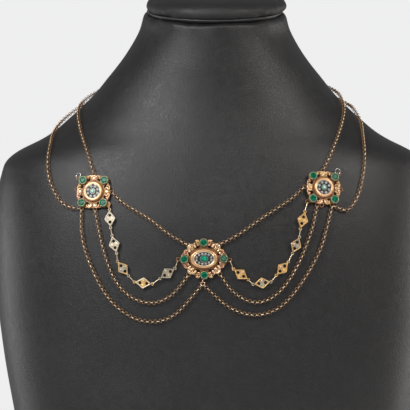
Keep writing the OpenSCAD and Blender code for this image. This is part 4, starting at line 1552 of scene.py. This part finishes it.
@dataclass
class Studio:
    """The camera, the pale surroundings, the floor and the soft lights."""

    view_width: float = 213.2 * MM
    centre_x: float = -5.1 * MM
    centre_z: float = 191.6 * MM
    distance: float = 8.0
    necklace_y: float = -50 * MM
    sensor: float = 36.0
    clip_end: float = 100.0
    seen: Colour = (0.86, 0.86, 0.865)
    fill: Colour = (0.16, 0.16, 0.16)
    floor_radius: float = 3.0
    lights: tuple[Softbox, ...] = (
        Softbox("left_softbox", (-0.74, -1.02, 0.96), 0.62, 13.0),
        Softbox("right_softbox", (0.90, -0.88, 0.98), 0.42, 6.8, (1.0, 0.96, 0.92)),
        Softbox("top_softbox", (0.0, -0.55, 1.45), 0.7, 1.8),
        Softbox("left_card", (-1.20, 0.45, 0.00), 0.7, 6.0),
        Softbox("right_card", (1.20, 0.45, 0.10), 0.8, 8.0, (1.0, 0.97, 0.95)),
    )

    def build(self) -> None:
        """Build the camera, the world, the floor and the lights."""
        self.camera()
        self.world()
        self.floor()
        for light in self.lights:
            light.build(Vector((0, 0, self.centre_z)))

    def camera(self) -> None:
        """Set the long lens level with the middle of the view."""
        data = bpy.data.cameras.new("camera")
        data.sensor_width = self.sensor
        data.lens = self.sensor * self.distance / self.view_width
        data.clip_end = self.clip_end
        camera = placed("camera", data)
        camera.location = (self.centre_x, self.necklace_y - self.distance, self.centre_z)
        camera.rotation_euler = (math.radians(90), 0, 0)
        bpy.context.scene.camera = camera

    def world(self) -> None:
        """Surround the scene with a pale tone that lights it less than it shows."""
        scene = bpy.context.scene
        scene.view_settings.view_transform = "Standard"
        scene.world = bpy.data.worlds.new("surroundings")
        scene.world.use_nodes = True
        graph = Graph(scene.world.node_tree)
        graph.tree.nodes.clear()
        rays = graph.node("ShaderNodeLightPath").outputs["Is Camera Ray"]
        shown = graph.node("ShaderNodeBackground", None, {"Color": self.seen}).outputs[0]
        lit = graph.node("ShaderNodeBackground", None, {"Color": self.fill}).outputs[0]
        mixed = graph.node("ShaderNodeMixShader", None, {0: rays, 1: lit, 2: shown}).outputs[0]
        graph.node("ShaderNodeOutputWorld", None, {"Surface": mixed})

    def floor(self) -> None:
        """Lay the floor under the bust's base."""
        bm = bmesh.new()
        bmesh.ops.create_circle(bm, cap_ends=True, segments=128, radius=self.floor_radius)
        mesh = as_mesh(bm, "floor")
        mesh.materials.append(PlainFloor().material())
        placed("floor", mesh)


TUBES = [f"{side}_{run}" for run in ("outer_swag", "shoulder_swag", "back_chain") for side in SIDES]
LINKED = [f"{side}_{run}" for run in ("collar", "inner_swag") for side in SIDES]
LOZENGES = {
    "left_lozenge_1": "pale cream cream violet",
    "left_lozenge_2": "pale cream cream cream",
    "left_lozenge_3": "tarnished orange greenish violet",
    "left_lozenge_4": "orange cream orange orange",
    "left_lozenge_5": "tarnished tarnished greenish tarnished",
    "right_lozenge_1": "orange orange orange orange",
    "right_lozenge_2": "tarnished orange tarnished pink",
    "right_lozenge_3": "orange orange orange pink",
    "right_lozenge_4": "tarnished orange greenish pink",
    "right_lozenge_5": "orange orange orange pink",
}


def dress_nodes(nodes: Nodes, finishes: Finishes) -> None:
    """Give every CAD node its finish, by the slot that its material is named for.

    Args:
        nodes: the CAD nodes.
        finishes: the materials.
    """
    for node in nodes.values():
        for place in node.material_slots:
            name = place.material.name.split(".")[0]
            place.material = finishes[Slot(name)]


def main() -> None:
    """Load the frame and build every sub-assembly."""
    logging.basicConfig(level=logging.INFO, format="%(message)s")
    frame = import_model()
    nodes = frame["nodes"]
    finishes = Finishes()
    Studio().build()
    dress_nodes(nodes, finishes)
    for side, sizes in PLAQUES.items():
        PlaqueWork(side, nodes, finishes, **sizes).build()
    bust = Bust(nodes, finishes)
    bust.build()
    for name, tones in LOZENGES.items():
        plate, border, *bosses = (finishes.lozenge[Tone(tone)] for tone in tones.split())
        nodes[name].material_slots[0].material = plate
        LozengeWork(nodes[name], bust, border, bosses).build()
    for name in TUBES:
        ChainRun(nodes[name], bust, finishes).build()
    for name in LINKED:
        LinkedRun(nodes[name], bust, finishes).build()


if __name__ == "__main__":
    main()
